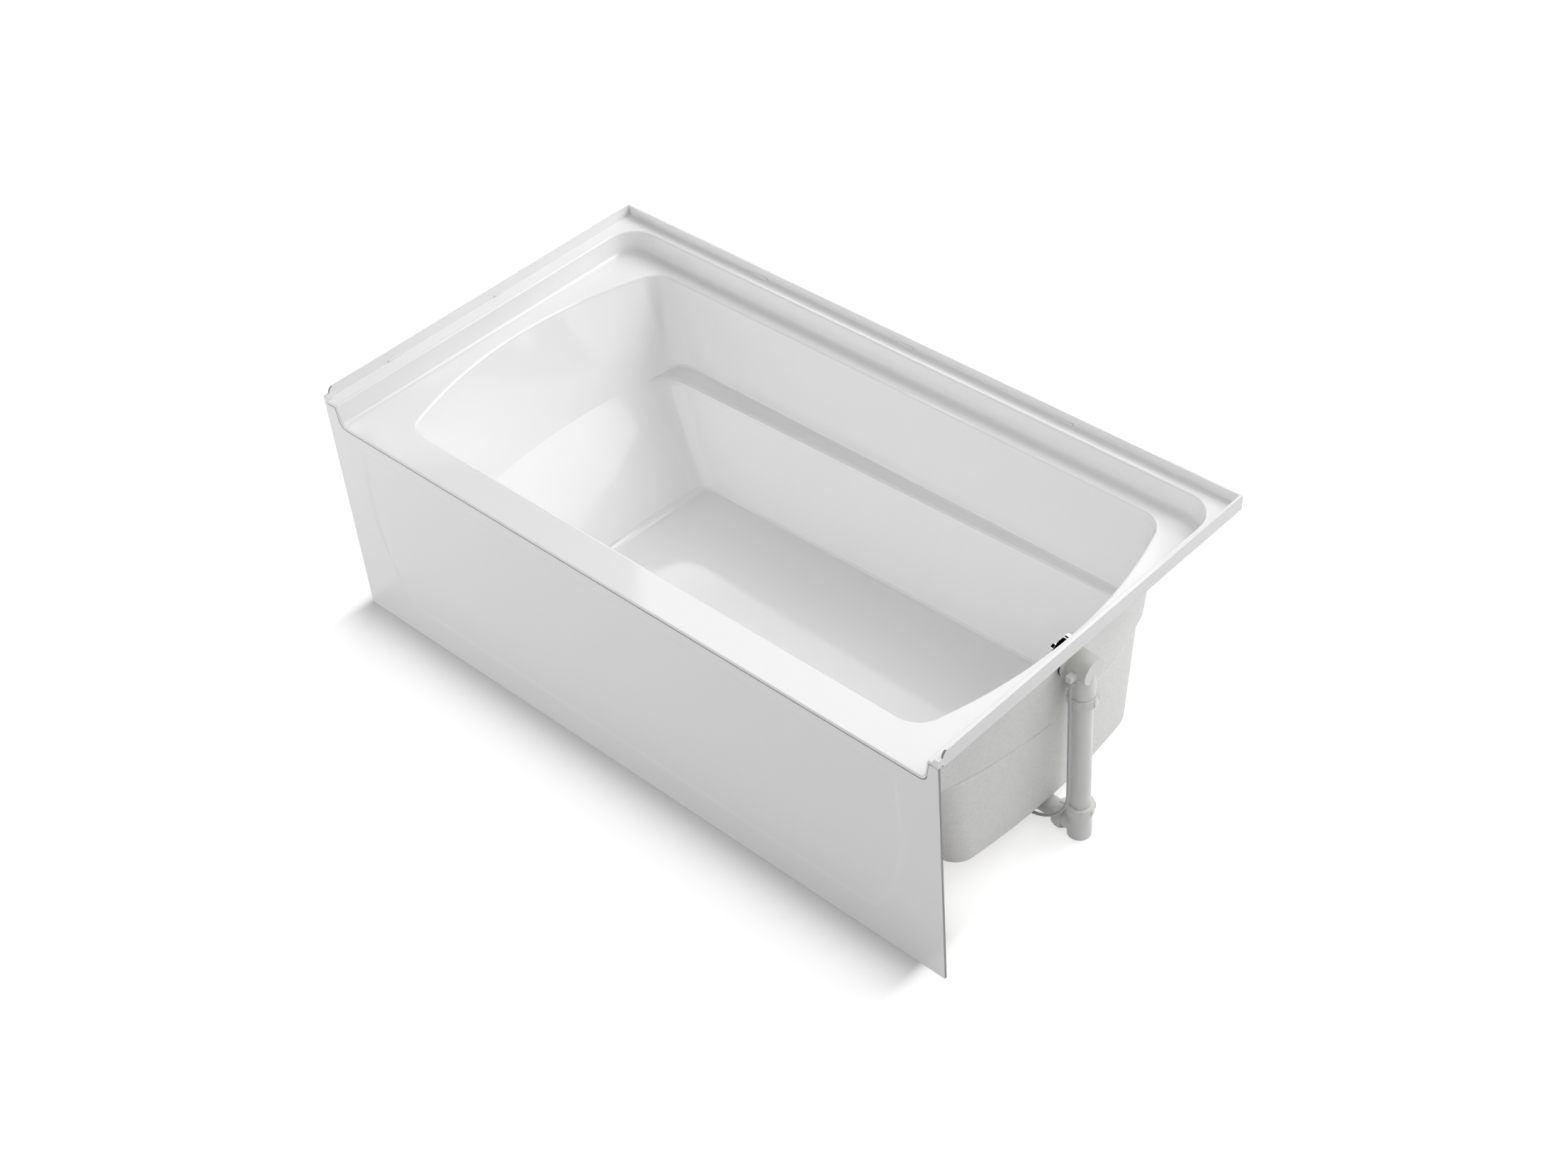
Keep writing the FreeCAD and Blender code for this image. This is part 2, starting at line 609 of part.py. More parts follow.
# ================================================================ apron
def apron_field():
    """Shallow bowed field pressed into the front of the apron."""
    y = -HALF_DEPTH + FIELD_DEPTH
    foot = Vector(HALF_LENGTH - FIELD_FOOT_MARGIN, y, FIELD_FOOT)
    middle = Vector(HALF_LENGTH - FIELD_MID_MARGIN, y, FIELD_FOOT + FIELD_MID_RISE)
    waist = Vector(HALF_LENGTH - FIELD_WAIST_MARGIN, y, FIELD_FOOT + FIELD_WAIST_RISE)
    top = Vector(HALF_LENGTH - FIELD_TOP_SIDE_MARGIN, y, RIM_HEIGHT - FIELD_TOP_MARGIN)
    side = [Part.Arc(foot, middle, waist).toShape(), Part.makeLine(waist, top)]
    other = [edge.mirror(Vector(0, 0, 0), X_AXIS) for edge in side]
    across = [Part.makeLine(Vector(-p.x, y, p.z), p) for p in (foot, top)]
    wire = Part.Wire(Part.sortEdges(side + other + across)[0])
    field = Part.Face(wire).extrude(Vector(0, -3 * FIELD_DEPTH, 0))
    corners = [e for e in field.Edges
               if abs(e.BoundBox.YLength - 3 * FIELD_DEPTH) < 1e-4
               and e.BoundBox.XLength < 1e-4
               and abs(e.Vertexes[0].Point.z - waist.z) > 1]
    rounded = field.makeFillet(FIELD_CORNER, corners)
    floor = [f for f in rounded.Faces if f.BoundBox.YMin > y - 1e-4][0].OuterWire
    mouth = floor.makeOffset2D(2 * FIELD_BORDER)
    mouth.translate(Vector(0, -2 * FIELD_DEPTH, 0))
    return Part.makeLoft([floor, mouth], True, True)


def apron_panel():
    """Front sheet whose top follows the deck, the recess walls and the ledges."""
    sheet = box(-HALF_LENGTH, HALF_LENGTH, -HALF_DEPTH, -HALF_DEPTH + APRON_THICK,
                0, LEDGE_HEIGHT - SKIN - SEAM)
    ends = [e for e in edges_where(sheet, lambda p: abs(p.y + HALF_DEPTH) < 1e-4)
            if e.BoundBox.ZLength > 1]
    sheet = sheet.makeFillet(APRON_END_ROUND, ends)
    return sheet.cut(recess_form(SKIN + SEAM, ABOVE_ALL)).cut(apron_field())


# ================================================================ support
def floor_slab(x0, x1, half_width, top_gap, thickness):
    """Slab parallel to the underside of the basin floor."""
    slab = box(x0, x1, -half_width, half_width, -thickness, 0)
    slab.rotate(Vector(0, 0, 0), Y_AXIS, FLOOR_FALL)
    slab.translate(Vector(0, BASIN_MID_Y, FLOOR_HEIGHT - SKIN - top_gap))
    return slab


def base_board():
    """Stiff board bonded under the floor of the basin."""
    board = floor_slab(BOARD_LEFT_X, BOARD_RIGHT_X, BOARD_HALF_WIDTH, BOND, BOARD_THICK)
    corners = [e for e in board.Edges
               if e.BoundBox.ZLength > BOARD_THICK * 0.9 and e.BoundBox.YLength < 1e-4
               and e.BoundBox.XLength < 1]
    board = board.makeFillet(BOARD_CORNER, corners)
    well = disc(SUMP_RADIUS + SKIN + BOND, 0, RIM_HEIGHT, DRAIN_X, BASIN_MID_Y)
    slot = box(DRAIN_X, BOARD_RIGHT_X + 5, BASIN_MID_Y - BOARD_DRAIN_CLEAR,
               BASIN_MID_Y + BOARD_DRAIN_CLEAR, 0, RIM_HEIGHT)
    return board.cut(well).cut(slot)


def base_runners():
    """Cross runners and end blocks that the bath stands on."""
    above = floor_slab(-HALF_LENGTH, HALF_LENGTH, HALF_DEPTH,
                       2 * BOND + BOARD_THICK, RIM_HEIGHT)
    solids = []
    for mid in RUNNER_MIDS:
        blank = box(mid - RUNNER_WIDTH / 2, mid + RUNNER_WIDTH / 2,
                    BASIN_MID_Y - BOARD_HALF_WIDTH, BASIN_MID_Y + BOARD_HALF_WIDTH,
                    0, RIM_HEIGHT)
        solids.append(blank.common(above))
    for side in (-1, 1):
        inner = BASIN_MID_Y + side * (BOARD_HALF_WIDTH - END_BLOCK_LENGTH)
        outer = BASIN_MID_Y + side * BOARD_HALF_WIDTH
        blank = box(BOARD_RIGHT_X - BOARD_CORNER - END_BLOCK_WIDTH,
                    BOARD_RIGHT_X - BOARD_CORNER,
                    min(inner, outer), max(inner, outer), 0, RIM_HEIGHT)
        solids.append(blank.common(above))
    return Part.makeCompound(solids)


def apron_bottom_rail():
    """Batten bonded behind the foot of the apron."""
    front = -HALF_DEPTH + APRON_THICK
    rail = box(-HALF_LENGTH + RAIL_END_GAP, HALF_LENGTH - RAIL_END_GAP,
               front, front + RAIL_THICK, RAIL_LIFT, RAIL_LIFT + RAIL_HEIGHT)
    return rail.makeChamfer(2.0, [e for e in rail.Edges if e.Length > LENGTH / 2])


def apron_braces():
    """Battens that tie the apron rail back to the runners."""
    front = -HALF_DEPTH + APRON_THICK + RAIL_THICK
    back = BASIN_MID_Y - BOARD_HALF_WIDTH
    solids = []
    for mid in RUNNER_MIDS:
        solids.append(box(mid - BRACE_THICK / 2, mid + BRACE_THICK / 2, front, back,
                          RAIL_LIFT, RAIL_LIFT + BRACE_HEIGHT))
    return Part.makeCompound(solids)


# ================================================================ overflow
def at_overflow(shape):
    """Carry a shape from its own frame to the overflow.

    In its own frame +Z points into the basin, +X up the wall, and z = 0 is the wall's face.
    """
    s = math.sin(math.radians(END_DRAFT))
    c = math.cos(math.radians(END_DRAFT))
    matrix = FreeCAD.Matrix(s, 0, -c, OVERFLOW_X,
                            0, 1, 0, BASIN_MID_Y,
                            c, 0, s, OVERFLOW_HEIGHT,
                            0, 0, 0, 1)
    moved = shape.copy()
    moved.Placement = FreeCAD.Placement(matrix).multiply(moved.Placement)
    return moved


def overflow_cover():
    """Deep round cap with a water inlet along its lower edge."""
    back = COVER_FOOT
    cap = disc(COVER_RADIUS, back, COVER_FRONT)
    front = [e for e in cap.Edges if abs(e.BoundBox.ZMin - COVER_FRONT) < 1e-3
             and e.BoundBox.ZLength < 1e-3]
    cap = cap.makeFillet(COVER_ROUND, front)
    hollow = disc(COVER_RADIUS - COVER_WALL, back - 1, COVER_FRONT - COVER_WALL)
    hole = disc(KNOB_STEM_RADIUS + SLIDE_FIT, 0, COVER_FRONT + 5)
    inlet = box(-COVER_RADIUS - 5, -COVER_RADIUS + 3 * COVER_WALL,
                -COVER_INLET_HALF, COVER_INLET_HALF, back - 1,
                COVER_FRONT * COVER_INLET_SHARE)
    return at_overflow(cap.cut(hollow).cut(hole).cut(inlet))


def overflow_knob():
    """Small turned knob that is pushed in to raise the stopper."""
    tip = COVER_FRONT + KNOB_REACH
    head_back = tip - KNOB_HEAD_LENGTH
    head = disc(KNOB_HEAD_RADIUS, head_back, tip)
    rims = [e for e in head.Edges if e.Length > KNOB_HEAD_RADIUS and e.BoundBox.ZLength < 1e-3]
    head = head.makeFillet(KNOB_HEAD_ROUND, rims)
    stem = disc(KNOB_STEM_RADIUS, KNOB_FOOT, head_back + 1)
    return at_overflow(head.fuse(stem).cut(disc(SHAFT_RADIUS, 0, KNOB_FOOT + SHAFT_GRIP)))


def knob_shaft():
    """Steel rod from the knob back through the guide."""
    return at_overflow(disc(SHAFT_RADIUS, -GUIDE_THICK - SHAFT_TAIL, KNOB_FOOT + SHAFT_GRIP))


def overflow_retainer():
    """Threaded ring that clamps the overflow body to the wall, with four clip lugs."""
    foot = COVER_FOOT
    plate = ring(RETAINER_RADIUS, NECK_RADIUS + SLIDE_FIT, foot, foot + RETAINER_THICK)
    lugs = []
    for i in range(4):
        lug = box(RETAINER_RADIUS - 1, COVER_RADIUS - COVER_WALL - 2 * BOND,
                  -RETAINER_LUG / 2, RETAINER_LUG / 2,
                  foot, foot + RETAINER_THICK)
        lug.rotate(Vector(0, 0, 0), Z_AXIS, 45 + 90 * i)
        lugs.append(lug)
    return at_overflow(plate.fuse(lugs))


def knob_guide():
    """Spoked bridge inside the neck that carries the knob shaft."""
    rim = ring(NECK_BORE, NECK_BORE - GUIDE_RIM, -GUIDE_THICK, 0)
    hub = disc(GUIDE_HUB_RADIUS, -GUIDE_THICK, 0)
    spokes = []
    for i in range(3):
        spoke = box(0, NECK_BORE - 1, -GUIDE_SPOKE / 2, GUIDE_SPOKE / 2, -GUIDE_THICK, 0)
        spoke.rotate(Vector(0, 0, 0), Z_AXIS, 90 + 120 * i)
        spokes.append(spoke)
    guide = rim.fuse([hub] + spokes)
    return at_overflow(guide.cut(disc(SHAFT_RADIUS + SLIDE_FIT, -GUIDE_THICK - 1, 1)))


def overflow_gasket():
    """Rubber ring between the wall and the overflow body."""
    return at_overflow(ring(BODY_FLANGE_RADIUS, OVERFLOW_HOLE, -SKIN - BOND - GASKET_THICK,
                            -SKIN - BOND))


def overflow_body():
    """Elbow behind the wall: neck, flange, chamber and downward socket."""
    face = -SKIN - 2 * BOND - GASKET_THICK
    flange = disc(BODY_FLANGE_RADIUS, face - BODY_FLANGE_THICK, face)
    neck = disc(NECK_RADIUS, face - 1, NECK_REACH)
    chamber = disc(CHAMBER_RADIUS, -CHAMBER_BACK, face - 1)
    solid = at_overflow(flange.fuse([neck, chamber]))
    hollow = at_overflow(disc(NECK_BORE, -CHAMBER_BACK + CHAMBER_WALL, NECK_REACH + 1))
    foot = OVERFLOW_SOCKET_FOOT
    outer = disc(SOCKET_RADIUS, foot, OVERFLOW_HEIGHT, PIPE_X, BASIN_MID_Y)
    inner = disc(SOCKET_BORE, foot, OVERFLOW_HEIGHT - CHAMBER_RADIUS, PIPE_X, BASIN_MID_Y)
    throat = disc(PIPE_RADIUS - PIPE_WALL, foot, OVERFLOW_HEIGHT, PIPE_X, BASIN_MID_Y)
    gland = box(PIPE_X - GLAND_RADIUS, PIPE_X + GLAND_RADIUS,
                CABLE_Y - GLAND_RADIUS, BASIN_MID_Y - CHAMBER_RADIUS + GLAND_RADIUS,
                OVERFLOW_HEIGHT - GLAND_LENGTH, OVERFLOW_HEIGHT)
    body = solid.fuse([outer, gland]).cut(hollow).cut(inner).cut(throat)
    return body.removeSplitter()


# ================================================================ pipework
def slip_nut():
    """Nut in its own frame: the socket it grips ends at z = 0 and lies below."""
    inner = SOCKET_RADIUS + THREAD_FIT
    outer = inner + NUT_WALL
    foot = NUT_LIP + WASHER_HEIGHT - NUT_HEIGHT
    nut = revolve_profile([(inner, foot), (outer, foot), (outer, WASHER_HEIGHT + NUT_LIP),
                           (SOCKET_BORE, WASHER_HEIGHT + NUT_LIP), (SOCKET_BORE, WASHER_HEIGHT),
                           (inner, WASHER_HEIGHT)])
    lugs = []
    for i in range(NUT_LUGS):
        lug = box(outer - 1, outer + NUT_LUG_DEPTH, -NUT_LIP, NUT_LIP, foot + NUT_LIP,
                  WASHER_HEIGHT)
        lug.rotate(Vector(0, 0, 0), Z_AXIS, 360 / NUT_LUGS * i)
        lugs.append(lug)
    return nut.fuse(lugs)


def slip_washer():
    """Tapered washer in the slip nut's frame, on the end of the socket."""
    inner = PIPE_RADIUS + SLIDE_FIT
    top = WASHER_HEIGHT - BOND
    return revolve_profile([(inner, BOND), (SOCKET_RADIUS, BOND),
                            (SOCKET_RADIUS, BOND + WASHER_EDGE),
                            (inner + WASHER_EDGE, top), (inner, top)])


def turned(shape, axis, angle, place):
    """Turn a shape about the origin and move it to its place."""
    moved = shape.copy()
    moved.rotate(Vector(0, 0, 0), axis, angle)
    moved.translate(place)
    return moved


def joint_places():
    """Turns and places of the three slip joints: overflow socket, tee head, tee side."""
    return [
        (X_AXIS, 180, Vector(PIPE_X, BASIN_MID_Y, OVERFLOW_SOCKET_FOOT)),
        (X_AXIS, 0, Vector(PIPE_X, BASIN_MID_Y, ARM_HEIGHT + TEE_RISE)),
        (Y_AXIS, -90, Vector(PIPE_X - TEE_REACH, BASIN_MID_Y, ARM_HEIGHT)),
    ]


def slip_nuts():
    """The three slip nuts of the pipework."""
    return Part.makeCompound([turned(slip_nut(), *place) for place in joint_places()])


def slip_washers():
    """The three tapered washers under the slip nuts."""
    return Part.makeCompound([turned(slip_washer(), *place) for place in joint_places()])


def overflow_pipe():
    """Upright pipe from the overflow body to the tee."""
    bottom = ARM_HEIGHT + TEE_RISE - TEE_HEAD_DEPTH + PIPE_END_GAP
    top = OVERFLOW_HEIGHT - CHAMBER_RADIUS - PIPE_END_GAP
    return ring(PIPE_RADIUS, PIPE_RADIUS - PIPE_WALL, bottom, top, PIPE_X, BASIN_MID_Y)


def waste_tee():
    """Tee that joins the overflow pipe and the waste arm to the outlet socket."""
    head = ARM_HEIGHT + TEE_RISE
    foot = ARM_HEIGHT - TEE_DROP
    side = PIPE_X - TEE_REACH
    upright = disc(SOCKET_RADIUS, foot, head, PIPE_X, BASIN_MID_Y)
    branch = bar_x(SOCKET_RADIUS, side, PIPE_X, BASIN_MID_Y, ARM_HEIGHT)
    tee = upright.fuse(branch)
    tools = [
        disc(PIPE_RADIUS - PIPE_WALL, foot - 1, head + 1, PIPE_X, BASIN_MID_Y),
        bar_x(PIPE_RADIUS - PIPE_WALL, side - 1, PIPE_X, BASIN_MID_Y, ARM_HEIGHT),
        disc(SOCKET_BORE, head - TEE_HEAD_DEPTH, head + 1, PIPE_X, BASIN_MID_Y),
        disc(SOCKET_BORE, foot - 1, foot + TEE_STOP, PIPE_X, BASIN_MID_Y),
        bar_x(SOCKET_BORE, side - 1, side + TEE_STOP, BASIN_MID_Y, ARM_HEIGHT),
    ]
    for tool in tools:
        tee = tee.cut(tool)
    return tee.removeSplitter()


def waste_arm():
    """Level pipe from the drain shoe to the tee."""
    start = DRAIN_X + SHOE_REACH - SHOE_STOP + PIPE_END_GAP
    end = PIPE_X - TEE_REACH + TEE_STOP - PIPE_END_GAP
    tube = bar_x(PIPE_RADIUS, start, end, BASIN_MID_Y, ARM_HEIGHT)
    return tube.cut(bar_x(PIPE_RADIUS - PIPE_WALL, start - 1, end + 1, BASIN_MID_Y, ARM_HEIGHT))


# ================================================================ drain and stopper
def drain_shoe():
    """Elbow under the drain with a threaded mouth and a level outlet socket."""
    mouth = DRAIN_BARREL + THREAD_FIT
    bottom = ARM_HEIGHT - SOCKET_RADIUS
    end = DRAIN_X + SHOE_REACH
    flange = disc(SHOE_FLANGE_RADIUS, SHOE_TOP - SHOE_FLANGE_THICK, SHOE_TOP,
                  DRAIN_X, BASIN_MID_Y)
    cup = disc(mouth + SOCKET_WALL, bottom, SHOE_TOP, DRAIN_X, BASIN_MID_Y)
    rim = [e for e in cup.Edges if e.BoundBox.ZMax < bottom + 1e-3]
    cup = cup.makeFillet(SHOE_FOOT_ROUND, rim)
    outlet = bar_x(SOCKET_RADIUS, DRAIN_X, end, BASIN_MID_Y, ARM_HEIGHT)
    gland = box(DRAIN_X, end - GLAND_STEP, CABLE_Y - GLAND_RADIUS, BASIN_MID_Y - mouth,
                ARM_HEIGHT - GLAND_RADIUS, ARM_HEIGHT + GLAND_RADIUS)
    shoe = flange.fuse([cup, outlet, gland])
    pivot_x, pivot_z = lever_pivot()
    tools = [
        disc(mouth, bottom + SOCKET_WALL, SHOE_TOP + 1, DRAIN_X, BASIN_MID_Y),
        bar_x(SOCKET_BORE - SHOE_BORE_STEP, DRAIN_X, end + 1, BASIN_MID_Y, ARM_HEIGHT),
        bar_x(SOCKET_BORE, end - SHOE_STOP, end + 1, BASIN_MID_Y, ARM_HEIGHT),
        bar_y(LEVER_SHAFT + SLIDE_FIT, CABLE_Y - 2 * GLAND_RADIUS,
              BASIN_MID_Y + SOCKET_BORE + BOND, pivot_x, pivot_z),
    ]
    for tool in tools:
        shoe = shoe.cut(tool)
    return shoe.removeSplitter()


def shoe_gasket():
    """Rubber ring between the shoe and the underside of the bath."""
    return ring(SHOE_FLANGE_RADIUS, DRAIN_BARREL + THREAD_FIT, SHOE_TOP + BOND,
                SHOE_TOP + BOND + GASKET_THICK, DRAIN_X, BASIN_MID_Y)


def drain_body():
    """Flanged barrel screwed into the shoe, with cross bars and a stem hub."""
    top = DRAIN_FLANGE_THICK
    lip = DRAIN_LIP
    profile = [(DRAIN_BORE, -DRAIN_BARREL_LENGTH), (DRAIN_BARREL, -DRAIN_BARREL_LENGTH),
               (DRAIN_BARREL, 0), (DRAIN_FLANGE_RADIUS, 0), (DRAIN_FLANGE_RADIUS, lip),
               (DRAIN_FLANGE_RADIUS - 5, top), (STOPPER_RADIUS + 1, top),
               (SEAL_RADIUS + 0.5, lip), (DRAIN_BORE, lip)]
    body = revolve_profile(profile)
    floor_z = -DRAIN_BARREL_LENGTH
    bars = [disc(CROSS_HUB, floor_z, floor_z + CROSS_DEPTH)]
    for angle in (0, 90):
        bar = box(-DRAIN_BORE - 1, DRAIN_BORE + 1, -CROSS_BAR / 2, CROSS_BAR / 2,
                  floor_z, floor_z + CROSS_DEPTH)
        bar.rotate(Vector(0, 0, 0), Z_AXIS, angle)
        bars.append(bar)
    body = body.fuse(bars)
    body = body.cut(disc(STEM_RADIUS + SLIDE_FIT, floor_z - 1, floor_z + CROSS_DEPTH + 1))
    body.translate(Vector(DRAIN_X, BASIN_MID_Y, SUMP_HEIGHT + BOND))
    return body


def stopper_cap():
    """Low domed disc over the drain."""
    foot = SEAL_FOOT + SEAL_THICK
    dome = (STOPPER_RADIUS ** 2 + STOPPER_RISE ** 2) / (2 * STOPPER_RISE)
    ball = Part.makeSphere(dome, Vector(0, 0, foot + STOPPER_EDGE + STOPPER_RISE - dome))
    cap = ball.common(disc(STOPPER_RADIUS, foot, foot + 2 * STOPPER_RISE))
    cap.translate(Vector(DRAIN_X, BASIN_MID_Y, 0))
    return cap.cut(disc(STEM_RADIUS, foot - 1, STEM_TOP, DRAIN_X, BASIN_MID_Y))


def stopper_seal():
    """Rubber ring under the stopper cap."""
    return ring(SEAL_RADIUS, STEM_RADIUS, SEAL_FOOT, SEAL_FOOT + SEAL_THICK,
                DRAIN_X, BASIN_MID_Y)


def stopper_nut():
    """Hexagon nut that holds the seal against the cap."""
    foot = SEAL_FOOT - STEM_NUT_THICK
    corners = []
    for i in range(7):
        turn = math.radians(60 * i)
        corners.append(Vector(DRAIN_X + STEM_NUT_RADIUS * math.cos(turn),
                              BASIN_MID_Y + STEM_NUT_RADIUS * math.sin(turn), foot))
    nut = Part.Face(Part.makePolygon(corners)).extrude(Vector(0, 0, STEM_NUT_THICK))
    return nut.cut(disc(STEM_RADIUS, foot - 1, SEAL_FOOT + 1, DRAIN_X, BASIN_MID_Y))


def stopper_stem():
    """Rod from the stopper cap down through the hub of the drain body."""
    return disc(STEM_RADIUS, STEM_FOOT, STEM_TOP, DRAIN_X, BASIN_MID_Y)


def lever_pivot():
    """Place of the lever's axis, so that its tip swings evenly about the stem's line."""
    rest = math.radians(LEVER_REST)
    x = DRAIN_X + LEVER_ARM * (1 + math.cos(rest)) / 2
    z = STEM_FOOT - BOND - LEVER_ROUND + LEVER_ARM * math.sin(rest)
    return x, z


def lift_lever():
    """Cranked lever in the shoe that lifts the stem."""
    x, z = lever_pivot()
    shaft = bar_y(LEVER_SHAFT, CABLE_Y - GLAND_RADIUS + BOND, BASIN_MID_Y + SOCKET_BORE, x, z)
    half = LEVER_WIDTH / 2
    arm = box(-LEVER_ARM, 0, -half, half, -LEVER_WEB / 2, LEVER_WEB / 2)
    hub = bar_y(LEVER_HUB, -half, half, 0, 0)
    tip = bar_y(LEVER_ROUND, -half, half, -LEVER_ARM, 0)
    arm = arm.fuse([hub, tip])
    arm.rotate(Vector(0, 0, 0), Y_AXIS, -LEVER_REST)
    arm.translate(Vector(x, BASIN_MID_Y, z))
    return arm.fuse(shaft).removeSplitter()


# ================================================================ drive cable
def cable_ends():
    """Heights and places where the cable leaves the overflow body and enters the shoe."""
    top = Vector(PIPE_X, CABLE_Y, OVERFLOW_HEIGHT - GLAND_LENGTH)
    foot = Vector(DRAIN_X + SHOE_REACH - GLAND_STEP, CABLE_Y, ARM_HEIGHT)
    return top, foot


def drive_cable():
    """Cased cable: straight down, one wide bend, straight into the shoe."""
    top, foot = cable_ends()
    bend_top = Vector(top.x, top.y, foot.z + CABLE_BEND)
    bend_foot = Vector(top.x - CABLE_BEND, top.y, foot.z)
    k = CABLE_BEND * (1 - math.sqrt(0.5))
    path = Part.Wire([
        Part.makeLine(top, bend_top),
        Part.Arc(bend_top, Vector(top.x - k, top.y, foot.z + k), bend_foot).toShape(),
        Part.makeLine(bend_foot, foot),
    ])
    circle = Part.Wire(Part.makeCircle(CABLE_RADIUS, top, Z_AXIS))
    return path.makePipeShell([circle], True, False)


def cable_nuts():
    """Knurled end nuts of the cable at the overflow body and at the shoe."""
    top, foot = cable_ends()
    nut = ring(CABLE_NUT_RADIUS, CABLE_RADIUS + SLIDE_FIT, 0, CABLE_NUT_HEIGHT)
    upper = turned(nut, X_AXIS, 180, top - Z_AXIS * BOND)
    lower = turned(nut, Y_AXIS, 90, foot + X_AXIS * BOND)
    return Part.makeCompound([upper, lower])


NODES = {
    "bath_shell": bath_shell,
    "apron_panel": apron_panel,
    "base_board": base_board,
    "base_runners": base_runners,
    "apron_bottom_rail": apron_bottom_rail,
    "apron_braces": apron_braces,
    "overflow_cover": overflow_cover,
    "overflow_knob": overflow_knob,
    "knob_shaft": knob_shaft,
    "knob_guide": knob_guide,
    "overflow_retainer": overflow_retainer,
    "overflow_gasket": overflow_gasket,
    "overflow_body": overflow_body,
    "overflow_pipe": overflow_pipe,
    "slip_nuts": slip_nuts,
    "slip_washers": slip_washers,
    "waste_tee": waste_tee,
    "waste_arm": waste_arm,
    "drain_shoe": drain_shoe,
    "shoe_gasket": shoe_gasket,
    "drain_body": drain_body,
    "stopper_cap": stopper_cap,
    "stopper_seal": stopper_seal,
    "stopper_nut": stopper_nut,
    "stopper_stem": stopper_stem,
    "lift_lever": lift_lever,
    "drive_cable": drive_cable,
    "cable_nuts": cable_nuts,
}


def main():
    """Build every piece and write it to its own file."""
    for name, make in NODES.items():
        shape = make()
        print(name, "valid", shape.isValid(), "solids", len(shape.Solids),
              "volume", round(shape.Volume))
        shape.exportStep("parts/" + name + ".step")


main()
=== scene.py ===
import math

import bpy
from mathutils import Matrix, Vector


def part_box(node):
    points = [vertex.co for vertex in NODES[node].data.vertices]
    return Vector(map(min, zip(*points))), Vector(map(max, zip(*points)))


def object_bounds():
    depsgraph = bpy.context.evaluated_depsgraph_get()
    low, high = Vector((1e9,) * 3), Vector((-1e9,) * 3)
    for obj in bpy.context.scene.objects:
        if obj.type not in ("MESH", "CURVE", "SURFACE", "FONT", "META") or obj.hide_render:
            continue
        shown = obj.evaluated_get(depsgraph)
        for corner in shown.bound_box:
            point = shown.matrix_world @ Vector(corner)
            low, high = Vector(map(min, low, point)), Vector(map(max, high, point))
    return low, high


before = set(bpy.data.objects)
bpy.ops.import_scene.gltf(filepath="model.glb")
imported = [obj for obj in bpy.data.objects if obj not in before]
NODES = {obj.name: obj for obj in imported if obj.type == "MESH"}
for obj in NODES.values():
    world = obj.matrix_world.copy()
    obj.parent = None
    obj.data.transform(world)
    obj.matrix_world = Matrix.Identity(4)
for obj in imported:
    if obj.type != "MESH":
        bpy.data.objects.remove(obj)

CAD_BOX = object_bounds()

bl_info = {
    "name": "Alcove Bathtub Finish",
    "version": (1, 0, 0),
    "blender": (4, 5, 0),
    "location": "3D View > Sidebar > Bathtub",
    "description": "Finishes, floor, lamps and camera for an alcove bathtub",
    "category": "Object",
}

SHELL_LOW, SHELL_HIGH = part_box("bath_shell")
APRON_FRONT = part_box("apron_panel")[0].y

# distances in metres that tell the moulding's faces apart
FLANGE_SIDE = 0.0317        # flange's outer side, from its top down, with a little to spare
FLANGE_THICK = 0.0045       # flange, with a little to spare
EAR_LENGTH = 0.011          # a little less than the ear at the flange's front end
LEDGE_UNDERSIDE = 0.0262    # underside of the ledges, from the flange's top down
LIP_DEPTH = 0.008           # front lip, from its face back
OUTER_SIDE_REACH = 0.04     # outer face of the side flanges, from the box inwards
OUTER_BACK_REACH = 0.02     # outer face of the back flange, from the box inwards

# a face looks away from the middle where its place times its normal is above this, in metres
LOOKS_OUT = 0.02

# limits for the upward part of a face's normal, then for its backward part
LOOKS_DOWN = -0.35
LOOKS_A_LITTLE_DOWN = -0.2
LOOKS_FORWARD = -0.25
APRON_LOOKS_BACK = 0.5
APRON_LOOKS_FORWARD = -0.7

# depths of surface marks in metres
STRAND_DEPTH = 0.001
BOARD_DEPTH = 0.0006
GRAIN_DEPTH = 0.0004

ACRYLIC_IOR = 1.55
BACKING_GAIN = 1.07                 # pale strands against the colour of the backing
BACKING_ROUGHNESS = 0.5             # more than the gloss face's, also on the sawn edges
BOARD_GAIN = 1.35                   # pale strands against the colour of the board
ACRYLIC_GLOSS_SPREAD = (0.8, 1.25)  # shares of the roughness that the gloss lies between
PLASTIC_GLOSS_SPREAD = (0.85, 1.15)
WOOD_DUST = (0.55, 0.53, 0.49, 1.0)
PLASTIC_DUST = (0.55, 0.53, 0.50, 1.0)
GRAIN_ALONG_X = (0.08, 1.0, 1.0)
GRAIN_ALONG_Y = (1.0, 0.08, 1.0)

# noise values, and parts of a normal, at which an effect starts and is full
MOTTLE_SPAN = (0.3, 0.7)
STRAND_SPAN = (0.50, 0.66)
LATE_WOOD_SPAN = (0.1, 1.15)
DUST_LIES_SPAN = (0.2, 0.95)
DUST_PATCH_SPAN = (0.35, 0.7)

# turns in radians that lay three sets of strands across one another
STRAND_TURNS = ((0.0, 0.0, 0.2), (0.3, 0.0, 1.15), (0.0, 0.4, 2.2))

GRAIN_SWAY = (0.05, 0.05, 0.05)     # how far the rings wander
LATE_WOOD_POWER = 2.2               # the higher, the narrower the late wood
FIBRE_SHARE = 0.35                  # of the fine fibres in the grain


# ------------------------------------------------------------------ settings
def colour_setting(name, description, default):
    """A colour that a user can change in the panel."""
    return bpy.props.FloatVectorProperty(name=name, description=description, subtype="COLOR",
                                         size=3, min=0.0, max=1.0, default=default)


